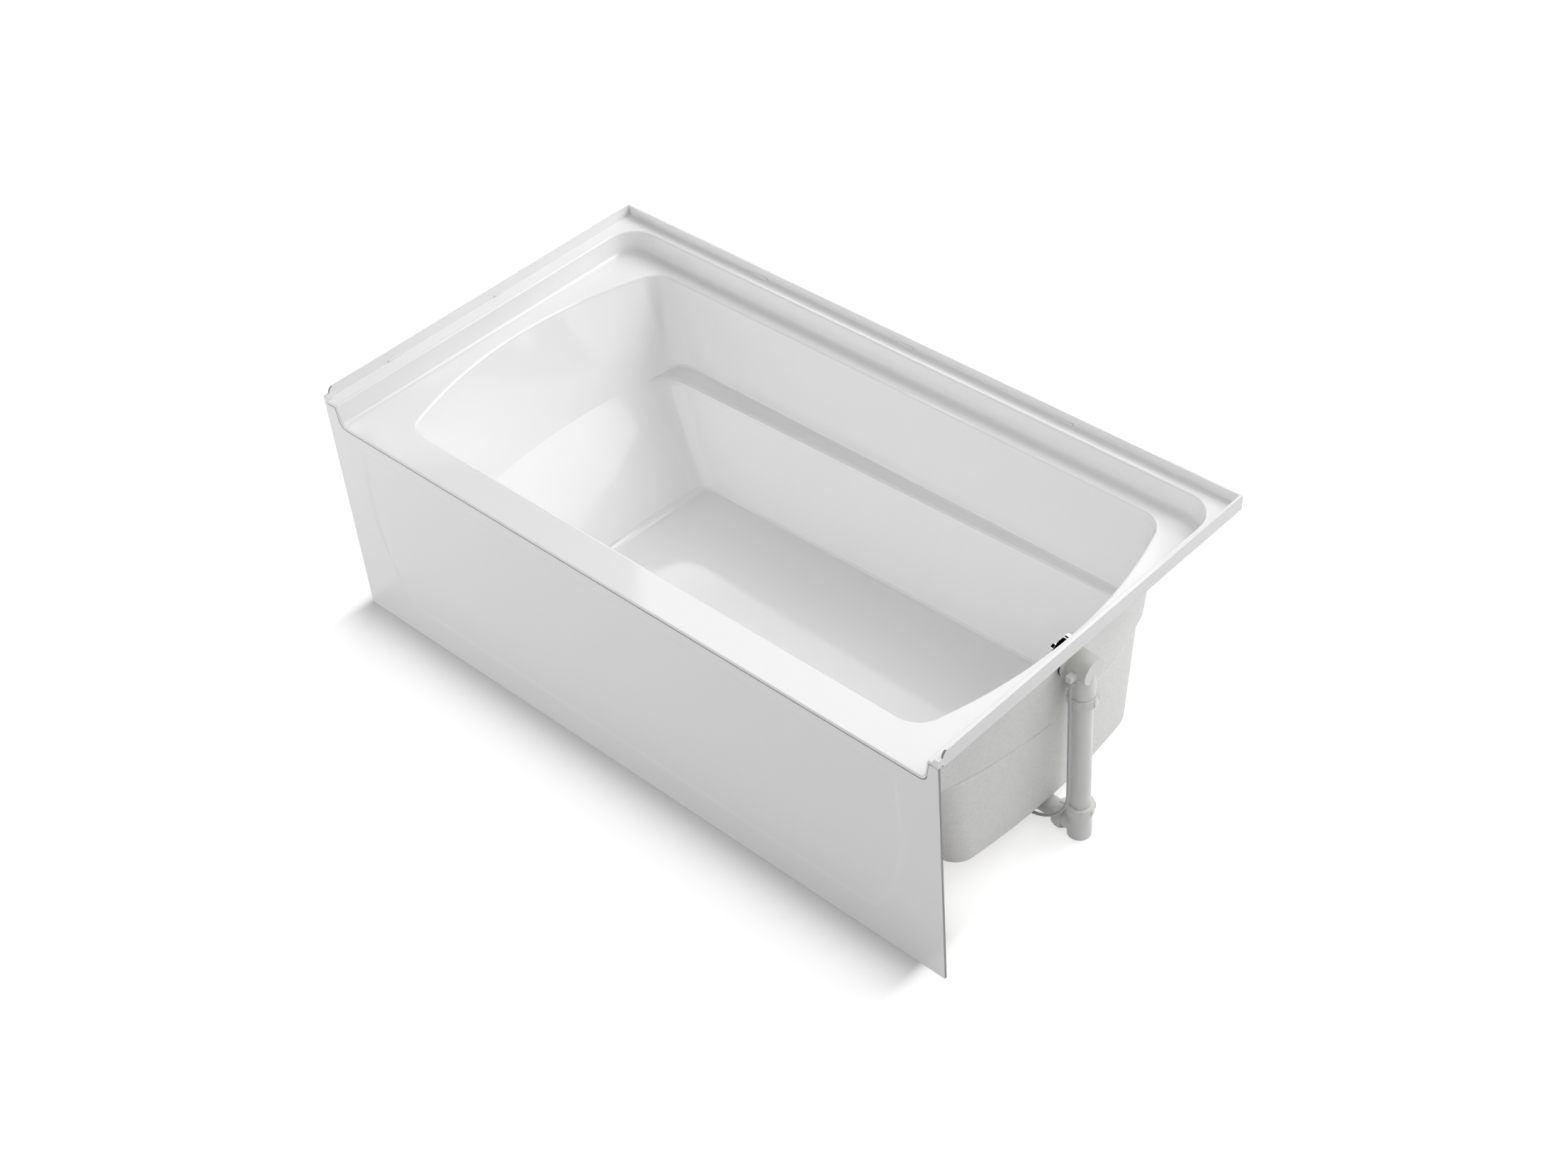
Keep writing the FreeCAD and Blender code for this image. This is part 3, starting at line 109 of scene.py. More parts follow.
def share_setting(name, description, default):
    """A value between 0 and 1 that a user can change in the panel."""
    return bpy.props.FloatProperty(name=name, description=description, subtype="FACTOR",
                                   min=0.0, max=1.0, default=default)


def length_setting(name, description, default):
    """A length in metres that a user can change in the panel."""
    return bpy.props.FloatProperty(name=name, description=description, unit="LENGTH",
                                   subtype="DISTANCE", min=0.0, default=default, precision=5)


class BathFinish(bpy.types.PropertyGroup):
    """Colours and surface values of the bath's own finishes."""

    acrylic_colour: colour_setting("Acrylic", "Colour of the bath and its apron",
                                   (0.91, 0.91, 0.91))
    acrylic_roughness: share_setting("Acrylic roughness", "Roughness of the gloss face", 0.04)
    peel_depth: length_setting("Peel depth", "Depth of the moulding's faint ripple", 0.00002)
    backing_colour: colour_setting("Backing", "Colour of the glass-fibre back of the moulding",
                                   (0.80, 0.80, 0.785))
    # painted shade: a greyer copy of the gloss colour for the flange's outer side
    flange_shade_colour: colour_setting("Flange side", "Colour of the flange's outer side",
                                  (0.82, 0.82, 0.82))
    # partly the sheets' own darker sawn edges, partly painted shade: the same dark grey stands
    # for the shadow under the front lip and on the apron's ends
    sawn_edge_and_shade_colour: colour_setting("Trimmed edge", "Colour of the sawn edges of the sheets",
                                   (0.34, 0.34, 0.34))
    board_colour: colour_setting("Base board", "Colour of the board under the floor",
                                 (0.52, 0.40, 0.25))
    timber_light: colour_setting("Timber, early wood", "Pale part of the grain",
                                 (0.74, 0.57, 0.36))
    timber_dark: colour_setting("Timber, late wood", "Dark part of the grain",
                                (0.50, 0.31, 0.15))
    chrome_colour: colour_setting("Chrome", "Tint of the plated fittings", (0.80, 0.81, 0.83))
    steel_colour: colour_setting("Steel", "Tint of the rods, nut and lever", (0.56, 0.57, 0.58))
    pipe_colour: colour_setting("Pipework", "Colour of the plastic pipework",
                                (0.80, 0.80, 0.78))
    washer_colour: colour_setting("Slip washers", "Colour of the tapered washers",
                                  (0.70, 0.74, 0.76))
    rubber_colour: colour_setting("Rubber", "Colour of the gaskets and the stopper's seal",
                                  (0.025, 0.025, 0.027))
    casing_colour: colour_setting("Cable casing", "Colour of the drive cable's casing",
                                  (0.50, 0.51, 0.52))


class BathStage(bpy.types.PropertyGroup):
    """Floor, lamps and world."""

    floor_colour: colour_setting("Floor", "Colour of the floor", (0.70, 0.70, 0.70))
    floor_size: length_setting("Floor size", "Length of each side of the floor", 40.0)
    floor_lift: share_setting("Floor lift", "Light added to the floor for the camera", 0.60)
    # reach of the painted shadow strip along the apron's foot
    shadow_reach: length_setting("Shadow reach", "Distance from the apron's foot over which "
                                 "the floor's lift comes back", 0.068)
    world_level: share_setting("World level", "Brightness of the surrounding light", 0.00)


# ------------------------------------------------------------------ shader parts
def put(tree, kind, props=None, values=None):
    """Add a node, set its own settings, then fill or link its inputs."""
    node = tree.nodes.new(kind)
    for name, value in (props or {}).items():
        setattr(node, name, value)
    for name, value in (values or {}).items():
        if isinstance(value, bpy.types.NodeSocket):
            tree.links.new(value, node.inputs[name])
        else:
            node.inputs[name].default_value = value
    return node


def math_node(tree, operation, first, second=None, third=None, clamp=False):
    """One step of arithmetic; returns its output."""
    values = {0: first}
    if second is not None:
        values[1] = second
    if third is not None:
        values[2] = third
    return put(tree, "ShaderNodeMath", {"operation": operation, "use_clamp": clamp},
               values).outputs[0]


def mix_colours(tree, factor, first, second, how="MIX"):
    """Mix two colours; returns the result."""
    node = put(tree, "ShaderNodeMix", {"data_type": "RGBA", "blend_type": how})
    for index, value in ((0, factor), (6, first), (7, second)):
        if isinstance(value, bpy.types.NodeSocket):
            tree.links.new(value, node.inputs[index])
        else:
            node.inputs[index].default_value = value
    return node.outputs[2]


def between(tree, value, low, high, to_low=0.0, to_high=1.0):
    """Map a value from one range to another, with its ends held."""
    return put(tree, "ShaderNodeMapRange", {"clamp": True},
               {"Value": value, "From Min": low, "From Max": high,
                "To Min": to_low, "To Max": to_high}).outputs["Result"]


def opaque(colour):
    """A colour with its fourth channel."""
    return (colour[0], colour[1], colour[2], 1.0)


def new_group(name, inputs, outputs):
    """Start a shader group; returns its tree, its inputs and its output node."""
    tree = bpy.data.node_groups.new(name, "ShaderNodeTree")
    for label, kind, default in inputs:
        socket = tree.interface.new_socket(name=label, in_out="INPUT", socket_type=kind)
        socket.default_value = default
    for label, kind in outputs:
        tree.interface.new_socket(name=label, in_out="OUTPUT", socket_type=kind)
    entry = tree.nodes.new("NodeGroupInput")
    return tree, entry.outputs, tree.nodes.new("NodeGroupOutput")


def place_of(tree):
    """The surface's own place in metres, which moves with the piece."""
    return tree.nodes.new("ShaderNodeTexCoord").outputs["Object"]


def build_mottle():
    """Soft uneven value, for gloss that varies and for small ripples."""
    tree, given, out = new_group(
        "uneven_value",
        [("Scale", "NodeSocketFloat", 40.0), ("Low", "NodeSocketFloat", 0.0),
         ("High", "NodeSocketFloat", 1.0)],
        [("Value", "NodeSocketFloat")])
    noise = put(tree, "ShaderNodeTexNoise", None,
                {"Vector": place_of(tree), "Scale": given["Scale"], "Detail": 3.0,
                 "Roughness": 0.55})
    value = between(tree, noise.outputs["Fac"], *MOTTLE_SPAN, given["Low"], given["High"])
    tree.links.new(value, out.inputs["Value"])
    return tree


def build_tint():
    """A colour with a faint uneven tone in it."""
    tree, given, out = new_group(
        "uneven_tone",
        [("Colour", "NodeSocketColor", (0.8, 0.8, 0.8, 1.0)),
         ("Scale", "NodeSocketFloat", 12.0), ("Depth", "NodeSocketFloat", 0.05)],
        [("Colour", "NodeSocketColor")])
    noise = put(tree, "ShaderNodeTexNoise", None,
                {"Vector": place_of(tree), "Scale": given["Scale"], "Detail": 4.0})
    depth = math_node(tree, "MULTIPLY", noise.outputs["Fac"], given["Depth"])
    keep = math_node(tree, "SUBTRACT", 1.0, depth)
    grey = put(tree, "ShaderNodeCombineColor", None,
               {"Red": keep, "Green": keep, "Blue": keep}).outputs[0]
    tree.links.new(mix_colours(tree, 1.0, given["Colour"], grey, "MULTIPLY"),
                   out.inputs["Colour"])
    return tree


def build_strands():
    """Chopped strands lying at all angles: a mask and a height."""
    tree, given, out = new_group(
        "chopped_strands",
        [("Scale", "NodeSocketFloat", 60.0), ("Slimness", "NodeSocketFloat", 9.0)],
        [("Mask", "NodeSocketFloat"), ("Height", "NodeSocketFloat")])
    place = place_of(tree)
    total = None
    for turn in STRAND_TURNS:
        turned = put(tree, "ShaderNodeVectorRotate", {"rotation_type": "EULER_XYZ"},
                     {"Vector": place, "Rotation": turn}).outputs[0]
        slim = put(tree, "ShaderNodeCombineXYZ", None,
                   {"X": 1.0, "Y": given["Slimness"], "Z": given["Slimness"]}).outputs[0]
        drawn = put(tree, "ShaderNodeVectorMath", {"operation": "MULTIPLY"},
                    {0: turned, 1: slim}).outputs[0]
        noise = put(tree, "ShaderNodeTexNoise", None,
                    {"Vector": drawn, "Scale": given["Scale"], "Detail": 1.0})
        value = noise.outputs["Fac"]
        total = value if total is None else math_node(tree, "MAXIMUM", total, value)
    tree.links.new(between(tree, total, *STRAND_SPAN), out.inputs["Mask"])
    tree.links.new(total, out.inputs["Height"])
    return tree


def build_grain():
    """Softwood grain drawn out along one axis."""
    tree, given, out = new_group(
        "softwood_grain",
        [("Early wood", "NodeSocketColor", (0.74, 0.57, 0.36, 1.0)),
         ("Late wood", "NodeSocketColor", (0.50, 0.31, 0.15, 1.0)),
         ("Stretch", "NodeSocketVector", (1.0, 1.0, 1.0))],
        [("Colour", "NodeSocketColor"), ("Height", "NodeSocketFloat")])
    drawn = put(tree, "ShaderNodeVectorMath", {"operation": "MULTIPLY"},
                {0: place_of(tree), 1: given["Stretch"]}).outputs[0]
    sway = put(tree, "ShaderNodeTexNoise", None,
               {"Vector": drawn, "Scale": 6.0, "Detail": 2.0}).outputs["Color"]
    bent = put(tree, "ShaderNodeVectorMath", {"operation": "MULTIPLY_ADD"},
               {0: sway, 1: GRAIN_SWAY, 2: drawn}).outputs[0]
    rings = put(tree, "ShaderNodeTexWave",
                {"wave_type": "RINGS", "rings_direction": "SPHERICAL",
                 "wave_profile": "SAW"},
                {"Vector": bent, "Scale": 32.0, "Distortion": 1.2, "Detail": 2.0})
    fibre = put(tree, "ShaderNodeTexNoise", None,
                {"Vector": bent, "Scale": 260.0, "Detail": 3.0}).outputs["Fac"]
    late = math_node(tree, "POWER", rings.outputs["Fac"], LATE_WOOD_POWER)
    late = math_node(tree, "MULTIPLY_ADD", fibre, FIBRE_SHARE, late)
    late = between(tree, late, *LATE_WOOD_SPAN)
    tree.links.new(mix_colours(tree, late, given["Early wood"], given["Late wood"]),
                   out.inputs["Colour"])
    tree.links.new(math_node(tree, "SUBTRACT", fibre, late), out.inputs["Height"])
    return tree


def build_dust():
    """Thin dust that settles on faces that look up."""
    tree, given, out = new_group(
        "settled_dust",
        [("Amount", "NodeSocketFloat", 0.3)],
        [("Mask", "NodeSocketFloat")])
    normal = tree.nodes.new("ShaderNodeNewGeometry").outputs["Normal"]
    up = put(tree, "ShaderNodeSeparateXYZ", None, {0: normal}).outputs["Z"]
    noise = put(tree, "ShaderNodeTexNoise", None,
                {"Vector": place_of(tree), "Scale": 55.0, "Detail": 5.0}).outputs["Fac"]
    lying = math_node(tree, "MULTIPLY", between(tree, up, *DUST_LIES_SPAN),
                      between(tree, noise, *DUST_PATCH_SPAN))
    tree.links.new(math_node(tree, "MULTIPLY", lying, given["Amount"], clamp=True),
                   out.inputs["Mask"])
    return tree


GROUP_BUILDERS = {
    "uneven_value": build_mottle,
    "uneven_tone": build_tint,
    "chopped_strands": build_strands,
    "softwood_grain": build_grain,
    "settled_dust": build_dust,
}


def use_group(tree, name, values):
    """Place a shared shader group in a material with its own values."""
    group = bpy.data.node_groups.get(name) or GROUP_BUILDERS[name]()
    return put(tree, "ShaderNodeGroup", {"node_tree": group}, values)


def new_material(name):
    """An empty material with its surface shader; returns the tree and the shader."""
    material = bpy.data.materials.new(name)
    material.use_nodes = True
    tree = material.node_tree
    tree.nodes.clear()
    shader = tree.nodes.new("ShaderNodeBsdfPrincipled")
    output = tree.nodes.new("ShaderNodeOutputMaterial")
    tree.links.new(shader.outputs[0], output.inputs["Surface"])
    return material, tree, shader


def ripple(tree, shader, height, depth):
    """Feed a height to the shader's normal through a bump of a real depth in metres."""
    bump = put(tree, "ShaderNodeBump", None,
               {"Height": height, "Distance": depth, "Strength": 1.0})
    tree.links.new(bump.outputs["Normal"], shader.inputs["Normal"])


def dress(names, material):
    """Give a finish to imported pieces."""
    for name in names:
        piece = NODES[name]
        if not piece.material_slots:
            piece.data.materials.append(material)
        for slot in piece.material_slots:
            slot.material = material


# ------------------------------------------------------------------ finishes
def facing(tree):
    """The place and the normal of a face, each as its three parts."""
    place = put(tree, "ShaderNodeSeparateXYZ", None, {0: place_of(tree)})
    look = put(tree, "ShaderNodeSeparateXYZ", None,
               {0: tree.nodes.new("ShaderNodeNewGeometry").outputs["Normal"]})
    return place.outputs, look.outputs


def above(tree, value, limit):
    """1 where a value is above a limit."""
    return math_node(tree, "GREATER_THAN", value, limit)


def below(tree, value, limit):
    """1 where a value is below a limit."""
    return math_node(tree, "LESS_THAN", value, limit)


def all_of(tree, *masks):
    """1 where every mask is 1."""
    result = masks[0]
    for mask in masks[1:]:
        result = math_node(tree, "MULTIPLY", result, mask)
    return result


def any_of(tree, *masks):
    """1 where at least one mask is 1."""
    result = masks[0]
    for mask in masks[1:]:
        result = math_node(tree, "MAXIMUM", result, mask)
    return result


def shell_sides(tree):
    """Masks of the moulding's hidden side, the flange's outer side (painted shade), and the
    sawn edges with the lip's underside (a dark grey that is partly painted shade).
    """
    place, look = facing(tree)
    across = math_node(tree, "MULTIPLY", place["X"], look["X"])
    behind = math_node(tree, "MULTIPLY", math_node(tree, "MAXIMUM", place["Y"], 0.0), look["Y"])
    away = math_node(tree, "MULTIPLY_ADD", place["Y"], look["Y"], across)
    hidden = all_of(tree, above(tree, away, LOOKS_OUT),
                    below(tree, place["Z"], SHELL_HIGH.z - FLANGE_SIDE),
                    above(tree, place["Y"], SHELL_LOW.y + LIP_DEPTH))
    hidden = any_of(tree, hidden, below(tree, look["Z"], LOOKS_DOWN))
    # the flange's outer side, which gets painted shade
    outer = any_of(tree, above(tree, across, SHELL_HIGH.x - OUTER_SIDE_REACH),
                   above(tree, behind, SHELL_HIGH.y - OUTER_BACK_REACH))
    # the front lip's underside, made dark grey as a painted shadow in the gap above the apron
    under = all_of(tree, below(tree, place["Y"], SHELL_LOW.y + LIP_DEPTH),
                   below(tree, place["Z"], SHELL_HIGH.z - LEDGE_UNDERSIDE),
                   below(tree, look["Z"], LOOKS_A_LITTLE_DOWN))
    # the forward faces at the flanges' outer ends, also made dark grey
    nose = all_of(tree, below(tree, look["Y"], LOOKS_FORWARD),
                  above(tree, place["Y"], SHELL_LOW.y + EAR_LENGTH),
                  above(tree, math_node(tree, "ABSOLUTE", place["X"]),
                        SHELL_HIGH.x - FLANGE_THICK))
    return hidden, outer, any_of(tree, under, nose)


def apron_sides(tree):
    """Masks of the apron's hidden side and of its sawn edges (a dark grey that is partly
    painted shade), with 0 for the flange it lacks.
    """
    look = facing(tree)[1]
    back = above(tree, look["Y"], APRON_LOOKS_BACK)
    # the apron's sawn ends, made dark grey, partly as painted shade
    edge = all_of(tree, above(tree, look["Y"], APRON_LOOKS_FORWARD),
                  below(tree, look["Y"], APRON_LOOKS_BACK))
    return back, 0.0, edge


def acrylic(name, finish, sides):
    """Gloss moulding with a rough glass-fibre back, painted shade on the flange's outer side,
    and sawn edges in a dark grey that is partly their own colour, partly painted shade.
    """
    material, tree, shader = new_material(name)
    hidden, outer, sawn_edge_and_shade = sides(tree)
    face = use_group(tree, "uneven_tone", {"Colour": opaque(finish.acrylic_colour),
                                           "Scale": 5.0, "Depth": 0.012}).outputs[0]
    strands = use_group(tree, "chopped_strands", {"Scale": 22.0, "Slimness": 14.0})
    pale = opaque([min(1.0, c * BACKING_GAIN) for c in finish.backing_colour])
    back = mix_colours(tree, strands.outputs["Mask"], opaque(finish.backing_colour), pale)
    colour = mix_colours(tree, hidden, face, back)
    # painted shade: the flange's outer side in a greyer tone
    side = use_group(tree, "uneven_tone", {"Colour": opaque(finish.flange_shade_colour),
                                           "Scale": 9.0, "Depth": 0.03}).outputs[0]
    # dark grey of the sawn edges, partly their own colour and partly painted shade, as under
    # the front lip
    sawn = use_group(tree, "uneven_tone", {"Colour": opaque(finish.sawn_edge_and_shade_colour),
                                           "Scale": 160.0, "Depth": 0.25}).outputs[0]
    colour = mix_colours(tree, outer, colour, side)
    colour = mix_colours(tree, sawn_edge_and_shade, colour, sawn)
    tree.links.new(colour, shader.inputs["Base Color"])
    smoothest, roughest = ACRYLIC_GLOSS_SPREAD
    gloss = use_group(tree, "uneven_value",
                      {"Scale": 14.0, "Low": finish.acrylic_roughness * smoothest,
                       "High": finish.acrylic_roughness * roughest}).outputs[0]
    dull = any_of(tree, hidden, sawn_edge_and_shade)
    rough = math_node(tree, "MULTIPLY", dull, BACKING_ROUGHNESS)
    tree.links.new(math_node(tree, "ADD", gloss, rough), shader.inputs["Roughness"])
    peel = use_group(tree, "uneven_value", {"Scale": 170.0}).outputs[0]
    front = math_node(tree, "SUBTRACT", 1.0, dull)
    peel = math_node(tree, "MULTIPLY", math_node(tree, "MULTIPLY", peel, front),
                     finish.peel_depth / STRAND_DEPTH)
    coarse = math_node(tree, "MULTIPLY", strands.outputs["Height"], hidden)
    ripple(tree, shader, math_node(tree, "ADD", peel, coarse), STRAND_DEPTH)
    shader.inputs["IOR"].default_value = ACRYLIC_IOR
    return material


def timber(name, finish, stretch):
    """Sawn softwood with its grain along one axis."""
    material, tree, shader = new_material(name)
    grain = use_group(tree, "softwood_grain",
                      {"Early wood": opaque(finish.timber_light),
                       "Late wood": opaque(finish.timber_dark), "Stretch": stretch})
    dust = use_group(tree, "settled_dust", {"Amount": 0.35}).outputs[0]
    colour = mix_colours(tree, dust, grain.outputs["Colour"], WOOD_DUST)
    tree.links.new(colour, shader.inputs["Base Color"])
    rough = use_group(tree, "uneven_value", {"Scale": 90.0, "Low": 0.62, "High": 0.82})
    tree.links.new(rough.outputs[0], shader.inputs["Roughness"])
    ripple(tree, shader, grain.outputs["Height"], GRAIN_DEPTH)
    return material


def strand_board(finish):
    """Board of pressed wood strands."""
    material, tree, shader = new_material("strand_board")
    strands = use_group(tree, "chopped_strands", {"Scale": 9.0, "Slimness": 5.0})
    tone = use_group(tree, "uneven_tone", {"Colour": opaque(finish.board_colour),
                                           "Scale": 30.0, "Depth": 0.35}).outputs[0]
    pale = opaque([min(1.0, c * BOARD_GAIN) for c in finish.board_colour])
    colour = mix_colours(tree, strands.outputs["Mask"], tone, pale)
    dust = use_group(tree, "settled_dust", {"Amount": 0.25}).outputs[0]
    tree.links.new(mix_colours(tree, dust, colour, WOOD_DUST), shader.inputs["Base Color"])
    rough = use_group(tree, "uneven_value", {"Scale": 60.0, "Low": 0.55, "High": 0.8})
    tree.links.new(rough.outputs[0], shader.inputs["Roughness"])
    ripple(tree, shader, strands.outputs["Height"], BOARD_DEPTH)
    return material


def chrome(finish):
    """Bright plated metal with a trace of haze."""
    material, tree, shader = new_material("chrome_plate")
    tone = use_group(tree, "uneven_tone", {"Colour": opaque(finish.chrome_colour),
                                           "Scale": 45.0, "Depth": 0.05}).outputs[0]
    tree.links.new(tone, shader.inputs["Base Color"])
    haze = use_group(tree, "uneven_value", {"Scale": 60.0, "Low": 0.05, "High": 0.13})
    tree.links.new(haze.outputs[0], shader.inputs["Roughness"])
    shader.inputs["Metallic"].default_value = 1.0
    return material


def steel(finish):
    """Turned steel with fine marks from the tool."""
    material, tree, shader = new_material("turned_steel")
    tone = use_group(tree, "uneven_tone", {"Colour": opaque(finish.steel_colour),
                                           "Scale": 220.0, "Depth": 0.18}).outputs[0]
    tree.links.new(tone, shader.inputs["Base Color"])
    marks = use_group(tree, "uneven_value", {"Scale": 500.0, "Low": 0.24, "High": 0.42})
    tree.links.new(marks.outputs[0], shader.inputs["Roughness"])
    shader.inputs["Metallic"].default_value = 1.0
    return material


def plastic(name, colour, rough, speck, dust_amount=0.3):
    """Moulded plastic with faint flow marks and a little dust."""
    material, tree, shader = new_material(name)
    tone = use_group(tree, "uneven_tone", {"Colour": opaque(colour), "Scale": 26.0,
                                           "Depth": 0.08}).outputs[0]
    dust = use_group(tree, "settled_dust", {"Amount": dust_amount}).outputs[0]
    tree.links.new(mix_colours(tree, dust, tone, PLASTIC_DUST), shader.inputs["Base Color"])
    smoothest, roughest = PLASTIC_GLOSS_SPREAD
    gloss = use_group(tree, "uneven_value", {"Scale": 70.0, "Low": rough * smoothest,
                                             "High": rough * roughest})
    tree.links.new(gloss.outputs[0], shader.inputs["Roughness"])
    grit = use_group(tree, "uneven_value", {"Scale": 900.0}).outputs[0]
    ripple(tree, shader, grit, speck)
    return material


# ------------------------------------------------------------------ operators
class BATH_OT_moulding(bpy.types.Operator):
    """Finish the bath and its apron"""

    bl_idname = "bath.moulding"
    bl_label = "Bath and apron"

    def execute(self, context):
        finish = context.scene.bath_finish
        dress(["bath_shell"], acrylic("gloss_moulding", finish, shell_sides))
        dress(["apron_panel"], acrylic("gloss_apron", finish, apron_sides))
        return {"FINISHED"}


class BATH_OT_underframe(bpy.types.Operator):
    """Finish the board, runners, rail and braces under the bath"""

    bl_idname = "bath.underframe"
    bl_label = "Underframe"

    def execute(self, context):
        finish = context.scene.bath_finish
        dress(["base_board"], strand_board(finish))
        dress(["apron_bottom_rail"], timber("timber_along", finish, GRAIN_ALONG_X))
        dress(["base_runners", "apron_braces"],
              timber("timber_across", finish, GRAIN_ALONG_Y))
        return {"FINISHED"}


class BATH_OT_fittings(bpy.types.Operator):
    """Finish the plated fittings and the steel rods"""

    bl_idname = "bath.fittings"
    bl_label = "Fittings"

    def execute(self, context):
        finish = context.scene.bath_finish
        dress(["overflow_cover", "overflow_knob", "drain_body", "stopper_cap"],
              chrome(finish))
        dress(["knob_shaft", "stopper_nut", "stopper_stem", "lift_lever"], steel(finish))
        return {"FINISHED"}


class BATH_OT_pipework(bpy.types.Operator):
    """Finish the pipework, its nuts and its washers"""

    bl_idname = "bath.pipework"
    bl_label = "Pipework"

    def execute(self, context):
        finish = context.scene.bath_finish
        dress(["knob_guide", "overflow_retainer", "overflow_body", "overflow_pipe",
               "slip_nuts", "waste_tee", "waste_arm", "drain_shoe"],
              plastic("pipe_plastic", finish.pipe_colour, rough=0.36, speck=0.00004))
        dress(["slip_washers"],
              plastic("washer_plastic", finish.washer_colour, rough=0.3, speck=0.00003))
        return {"FINISHED"}


class BATH_OT_seals_and_cable(bpy.types.Operator):
    """Finish the rubber seals, the drive cable and its nuts"""

    bl_idname = "bath.seals_and_cable"
    bl_label = "Seals and cable"

    def execute(self, context):
        finish = context.scene.bath_finish
        dress(["overflow_gasket", "shoe_gasket", "stopper_seal"],
              plastic("seal_rubber", finish.rubber_colour, rough=0.62, speck=0.0001,
                      dust_amount=0.12))
        dress(["drive_cable"],
              plastic("cable_casing", finish.casing_colour, rough=0.42, speck=0.00008,
                      dust_amount=0.15))
        dress(["cable_nuts"],
              plastic("nut_plastic", finish.casing_colour, rough=0.5, speck=0.0001,
                      dust_amount=0.15))
        return {"FINISHED"}


# ------------------------------------------------------------------ stage
# painted shadow strip along the apron's foot, where the floor's glow is held back; it stops a
# little short of the bath's ends
SHADOW_LEFT = CAD_BOX[0].x + 0.005
SHADOW_RIGHT = CAD_BOX[1].x - 0.06
SHADOW_END_PULL = 4.0       # a step past the strip's ends counts this many times
SHADOW_CURVE = 1.5          # the higher, the later and the faster the strip fades

# the floor's lift grows to full white between these distances from the middle, in metres
LIT_FLOOR_REACH = 2.2
FAR_FLOOR_REACH = 4.5
FLOOR_GAP = 0.0005          # between the floor and the bath's lowest point

# camera's place in metres, turn in degrees and lens in millimetres
CAMERA_PLACE = (2.4525, -2.3136, 3.1624)
CAMERA_TURN = (48.359, 3.777, 43.001)
CAMERA_LENS = 54.18

# place that every lamp looks at, and how far from it each stands, in metres
LAMP_AIM = Vector((0.0, 0.0, 0.3))
LAMP_DISTANCE = 4.0
FRONT_LAMPS_FROM = 195      # lamps from this azimuth on stand in front of the bath

# name, azimuth from +X and elevation in degrees, width and height in metres, watts
LAMPS = [
    ("right_low", 4, 14, 2.4, 2.0, 18),
    ("right_middle", 18, 32, 2.4, 1.9, 8),
    ("rear_right", 50, 30, 2.6, 1.9, 26),
    ("rear_high", 68, 46, 3.2, 1.9, 72),
    ("rear_middle", 88, 28, 2.4, 1.9, 26),
    ("rear_left_high", 128, 46, 1.8, 1.9, 20),
    ("rear_left", 136, 26, 2.8, 1.8, 15),
    ("left_low", 216, 9, 2.6, 1.2, 38),
    ("front_left", 238, 34, 2.4, 2.6, 28),
    ("front_high", 288, 48, 4.2, 2.2, 33),
    ("front_top", 290, 64, 2.6, 1.9, 13),
    ("front_right", 343, 46, 2.4, 1.9, 11),
]


def painted_shadow_fade(tree, reach):
    """0 along the apron's foot, rising to 1 some way out: the floor's glow is held back in this
    strip as a painted shadow, over the lamps' own shadow.
    """
    place = put(tree, "ShaderNodeSeparateXYZ", None, {0: place_of(tree)})
    front = math_node(tree, "SUBTRACT", APRON_FRONT, place.outputs["Y"])
    front = math_node(tree, "ABSOLUTE", front)
    middle = math_node(tree, "SUBTRACT", place.outputs["X"], (SHADOW_LEFT + SHADOW_RIGHT) / 2)
    side = math_node(tree, "SUBTRACT", math_node(tree, "ABSOLUTE", middle),
                     (SHADOW_RIGHT - SHADOW_LEFT) / 2)
    side = math_node(tree, "MAXIMUM", math_node(tree, "MULTIPLY", side, SHADOW_END_PULL), 0.0)
    squares = math_node(tree, "MULTIPLY_ADD", side, side,
                        math_node(tree, "MULTIPLY", front, front))
    steps = math_node(tree, "DIVIDE", math_node(tree, "SQRT", squares), reach)
    fade = math_node(tree, "POWER", steps, SHADOW_CURVE)
    fade = math_node(tree, "POWER", math.e, math_node(tree, "MULTIPLY", fade, -1.0))
    return math_node(tree, "SUBTRACT", 1.0, fade)


def floor_material(stage):
    """Pale floor that glows white to the camera and in gloss, save a painted shadow strip along
    the apron's foot, over the lamps' own shadow.
    """
    material = bpy.data.materials.new("pale_floor")
    material.use_nodes = True
    tree = material.node_tree
    tree.nodes.clear()
    matt = put(tree, "ShaderNodeBsdfDiffuse", None, {"Color": opaque(stage.floor_colour)})
    rays = tree.nodes.new("ShaderNodeLightPath")
    seen = math_node(tree, "MAXIMUM", rays.outputs["Is Camera Ray"],
                     rays.outputs["Is Glossy Ray"])
    out = put(tree, "ShaderNodeVectorMath", {"operation": "LENGTH"}, {0: place_of(tree)})
    lift = between(tree, out.outputs["Value"], LIT_FLOOR_REACH, FAR_FLOOR_REACH,
                   stage.floor_lift, 1.0)
    seen = math_node(tree, "MULTIPLY", seen, lift)
    # painted shadow: the floor's glow fades out towards the apron's foot
    seen = math_node(tree, "MULTIPLY", seen, painted_shadow_fade(tree, stage.shadow_reach))
    glow = put(tree, "ShaderNodeEmission", None, {"Color": (1.0, 1.0, 1.0, 1.0),
                                                  "Strength": seen})
    both = put(tree, "ShaderNodeAddShader", None, {0: matt.outputs[0], 1: glow.outputs[0]})
    output = tree.nodes.new("ShaderNodeOutputMaterial")
    tree.links.new(both.outputs[0], output.inputs["Surface"])
    return material


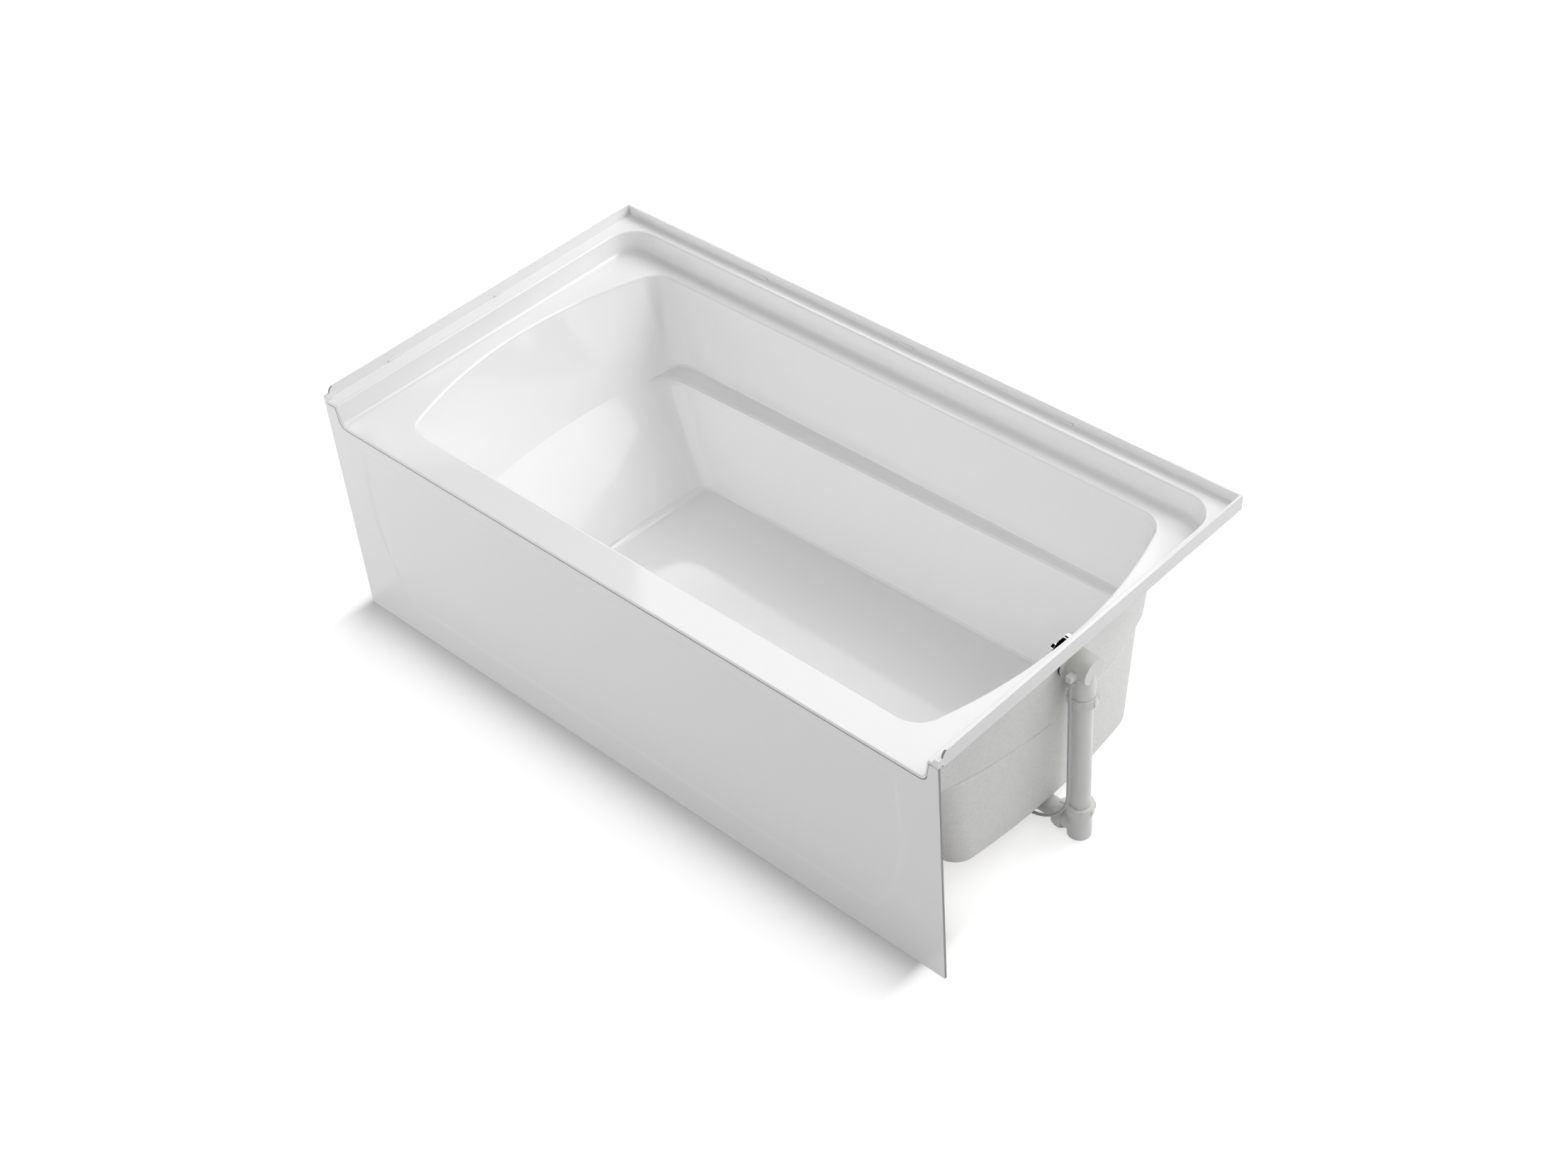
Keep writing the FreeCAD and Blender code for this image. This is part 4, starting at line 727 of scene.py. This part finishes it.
def build_floor(stage):
    """Large flat floor under the bath."""
    half = stage.floor_size / 2
    mesh = bpy.data.meshes.new("floor")
    mesh.from_pydata([(-half, -half, 0), (half, -half, 0), (half, half, 0), (-half, half, 0)],
                     [], [(0, 1, 2, 3)])
    mesh.materials.append(floor_material(stage))
    floor = bpy.data.objects.new("floor", mesh)
    floor.location = (0, 0, CAD_BOX[0].z - FLOOR_GAP)
    bpy.context.scene.collection.objects.link(floor)


def build_world(stage):
    """White surroundings at a plain level, pure white to the camera."""
    world = bpy.data.worlds.new("studio")
    bpy.context.scene.world = world
    world.use_nodes = True
    tree = world.node_tree
    tree.nodes.clear()
    rays = tree.nodes.new("ShaderNodeLightPath")
    seen = rays.outputs["Is Camera Ray"]
    level = between(tree, seen, 0.0, 1.0, stage.world_level, 1.0)
    background = put(tree, "ShaderNodeBackground", None,
                     {"Color": (1.0, 1.0, 1.0, 1.0), "Strength": level})
    output = tree.nodes.new("ShaderNodeOutputWorld")
    tree.links.new(background.outputs[0], output.inputs["Surface"])


def build_lamp(name, azimuth, elevation, width, height, watts):
    """Soft lamp that looks at the bath; gloss doesn't show the lamps in front of it."""
    data = bpy.data.lights.new(name, "AREA")
    data.shape = "RECTANGLE"
    data.size = width
    data.size_y = height
    data.energy = watts
    lamp = bpy.data.objects.new(name, data)
    turn, rise = math.radians(azimuth), math.radians(elevation)
    back = Vector((math.cos(turn) * math.cos(rise), math.sin(turn) * math.cos(rise),
                   math.sin(rise)))
    lamp.location = LAMP_AIM + back * LAMP_DISTANCE
    lamp.rotation_euler = (-back).to_track_quat("-Z", "Y").to_euler()
    lamp.visible_camera = False
    lamp.visible_glossy = azimuth < FRONT_LAMPS_FROM
    bpy.context.scene.collection.objects.link(lamp)


def build_camera():
    """Camera at the photograph's own place, turn and lens."""
    data = bpy.data.cameras.new("camera")
    data.sensor_width = 36.0
    data.lens = CAMERA_LENS
    data.clip_start = 0.05
    data.clip_end = 200.0
    camera = bpy.data.objects.new("camera", data)
    camera.location = CAMERA_PLACE
    camera.rotation_euler = [math.radians(angle) for angle in CAMERA_TURN]
    bpy.context.scene.collection.objects.link(camera)
    bpy.context.scene.camera = camera


class BATH_OT_stage(bpy.types.Operator):
    """Lay the floor, set the lamps and place the camera"""

    bl_idname = "bath.stage"
    bl_label = "Floor, lamps and camera"

    def execute(self, context):
        stage = context.scene.bath_stage
        build_floor(stage)
        build_world(stage)
        for lamp in LAMPS:
            build_lamp(*lamp)
        build_camera()
        context.scene.view_settings.view_transform = "Standard"
        return {"FINISHED"}


# ------------------------------------------------------------------ panel and running
OPERATORS = (BATH_OT_moulding, BATH_OT_underframe, BATH_OT_fittings, BATH_OT_pipework,
             BATH_OT_seals_and_cable, BATH_OT_stage)


class BATH_PT_build(bpy.types.Panel):
    """Sizes, colours and building steps of the bathtub"""

    bl_label = "Bathtub"
    bl_idname = "BATH_PT_build"
    bl_space_type = "VIEW_3D"
    bl_region_type = "UI"
    bl_category = "Bathtub"

    def draw(self, context):
        for settings in (context.scene.bath_finish, context.scene.bath_stage):
            box = self.layout.box()
            for name in settings.__annotations__:
                box.prop(settings, name)
        for operator in OPERATORS:
            self.layout.operator(operator.bl_idname)


CLASSES = (BathFinish, BathStage) + OPERATORS + (BATH_PT_build,)


def register():
    """Register the classes and the settings on the scene."""
    for cls in CLASSES:
        bpy.utils.register_class(cls)
    bpy.types.Scene.bath_finish = bpy.props.PointerProperty(type=BathFinish)
    bpy.types.Scene.bath_stage = bpy.props.PointerProperty(type=BathStage)


def unregister():
    """Take away the settings and the classes."""
    del bpy.types.Scene.bath_stage
    del bpy.types.Scene.bath_finish
    for cls in reversed(CLASSES):
        bpy.utils.unregister_class(cls)


def main():
    """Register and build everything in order."""
    register()
    bpy.ops.bath.moulding()
    bpy.ops.bath.underframe()
    bpy.ops.bath.fittings()
    bpy.ops.bath.pipework()
    bpy.ops.bath.seals_and_cable()
    bpy.ops.bath.stage()


if __name__ == "__main__":
    main()
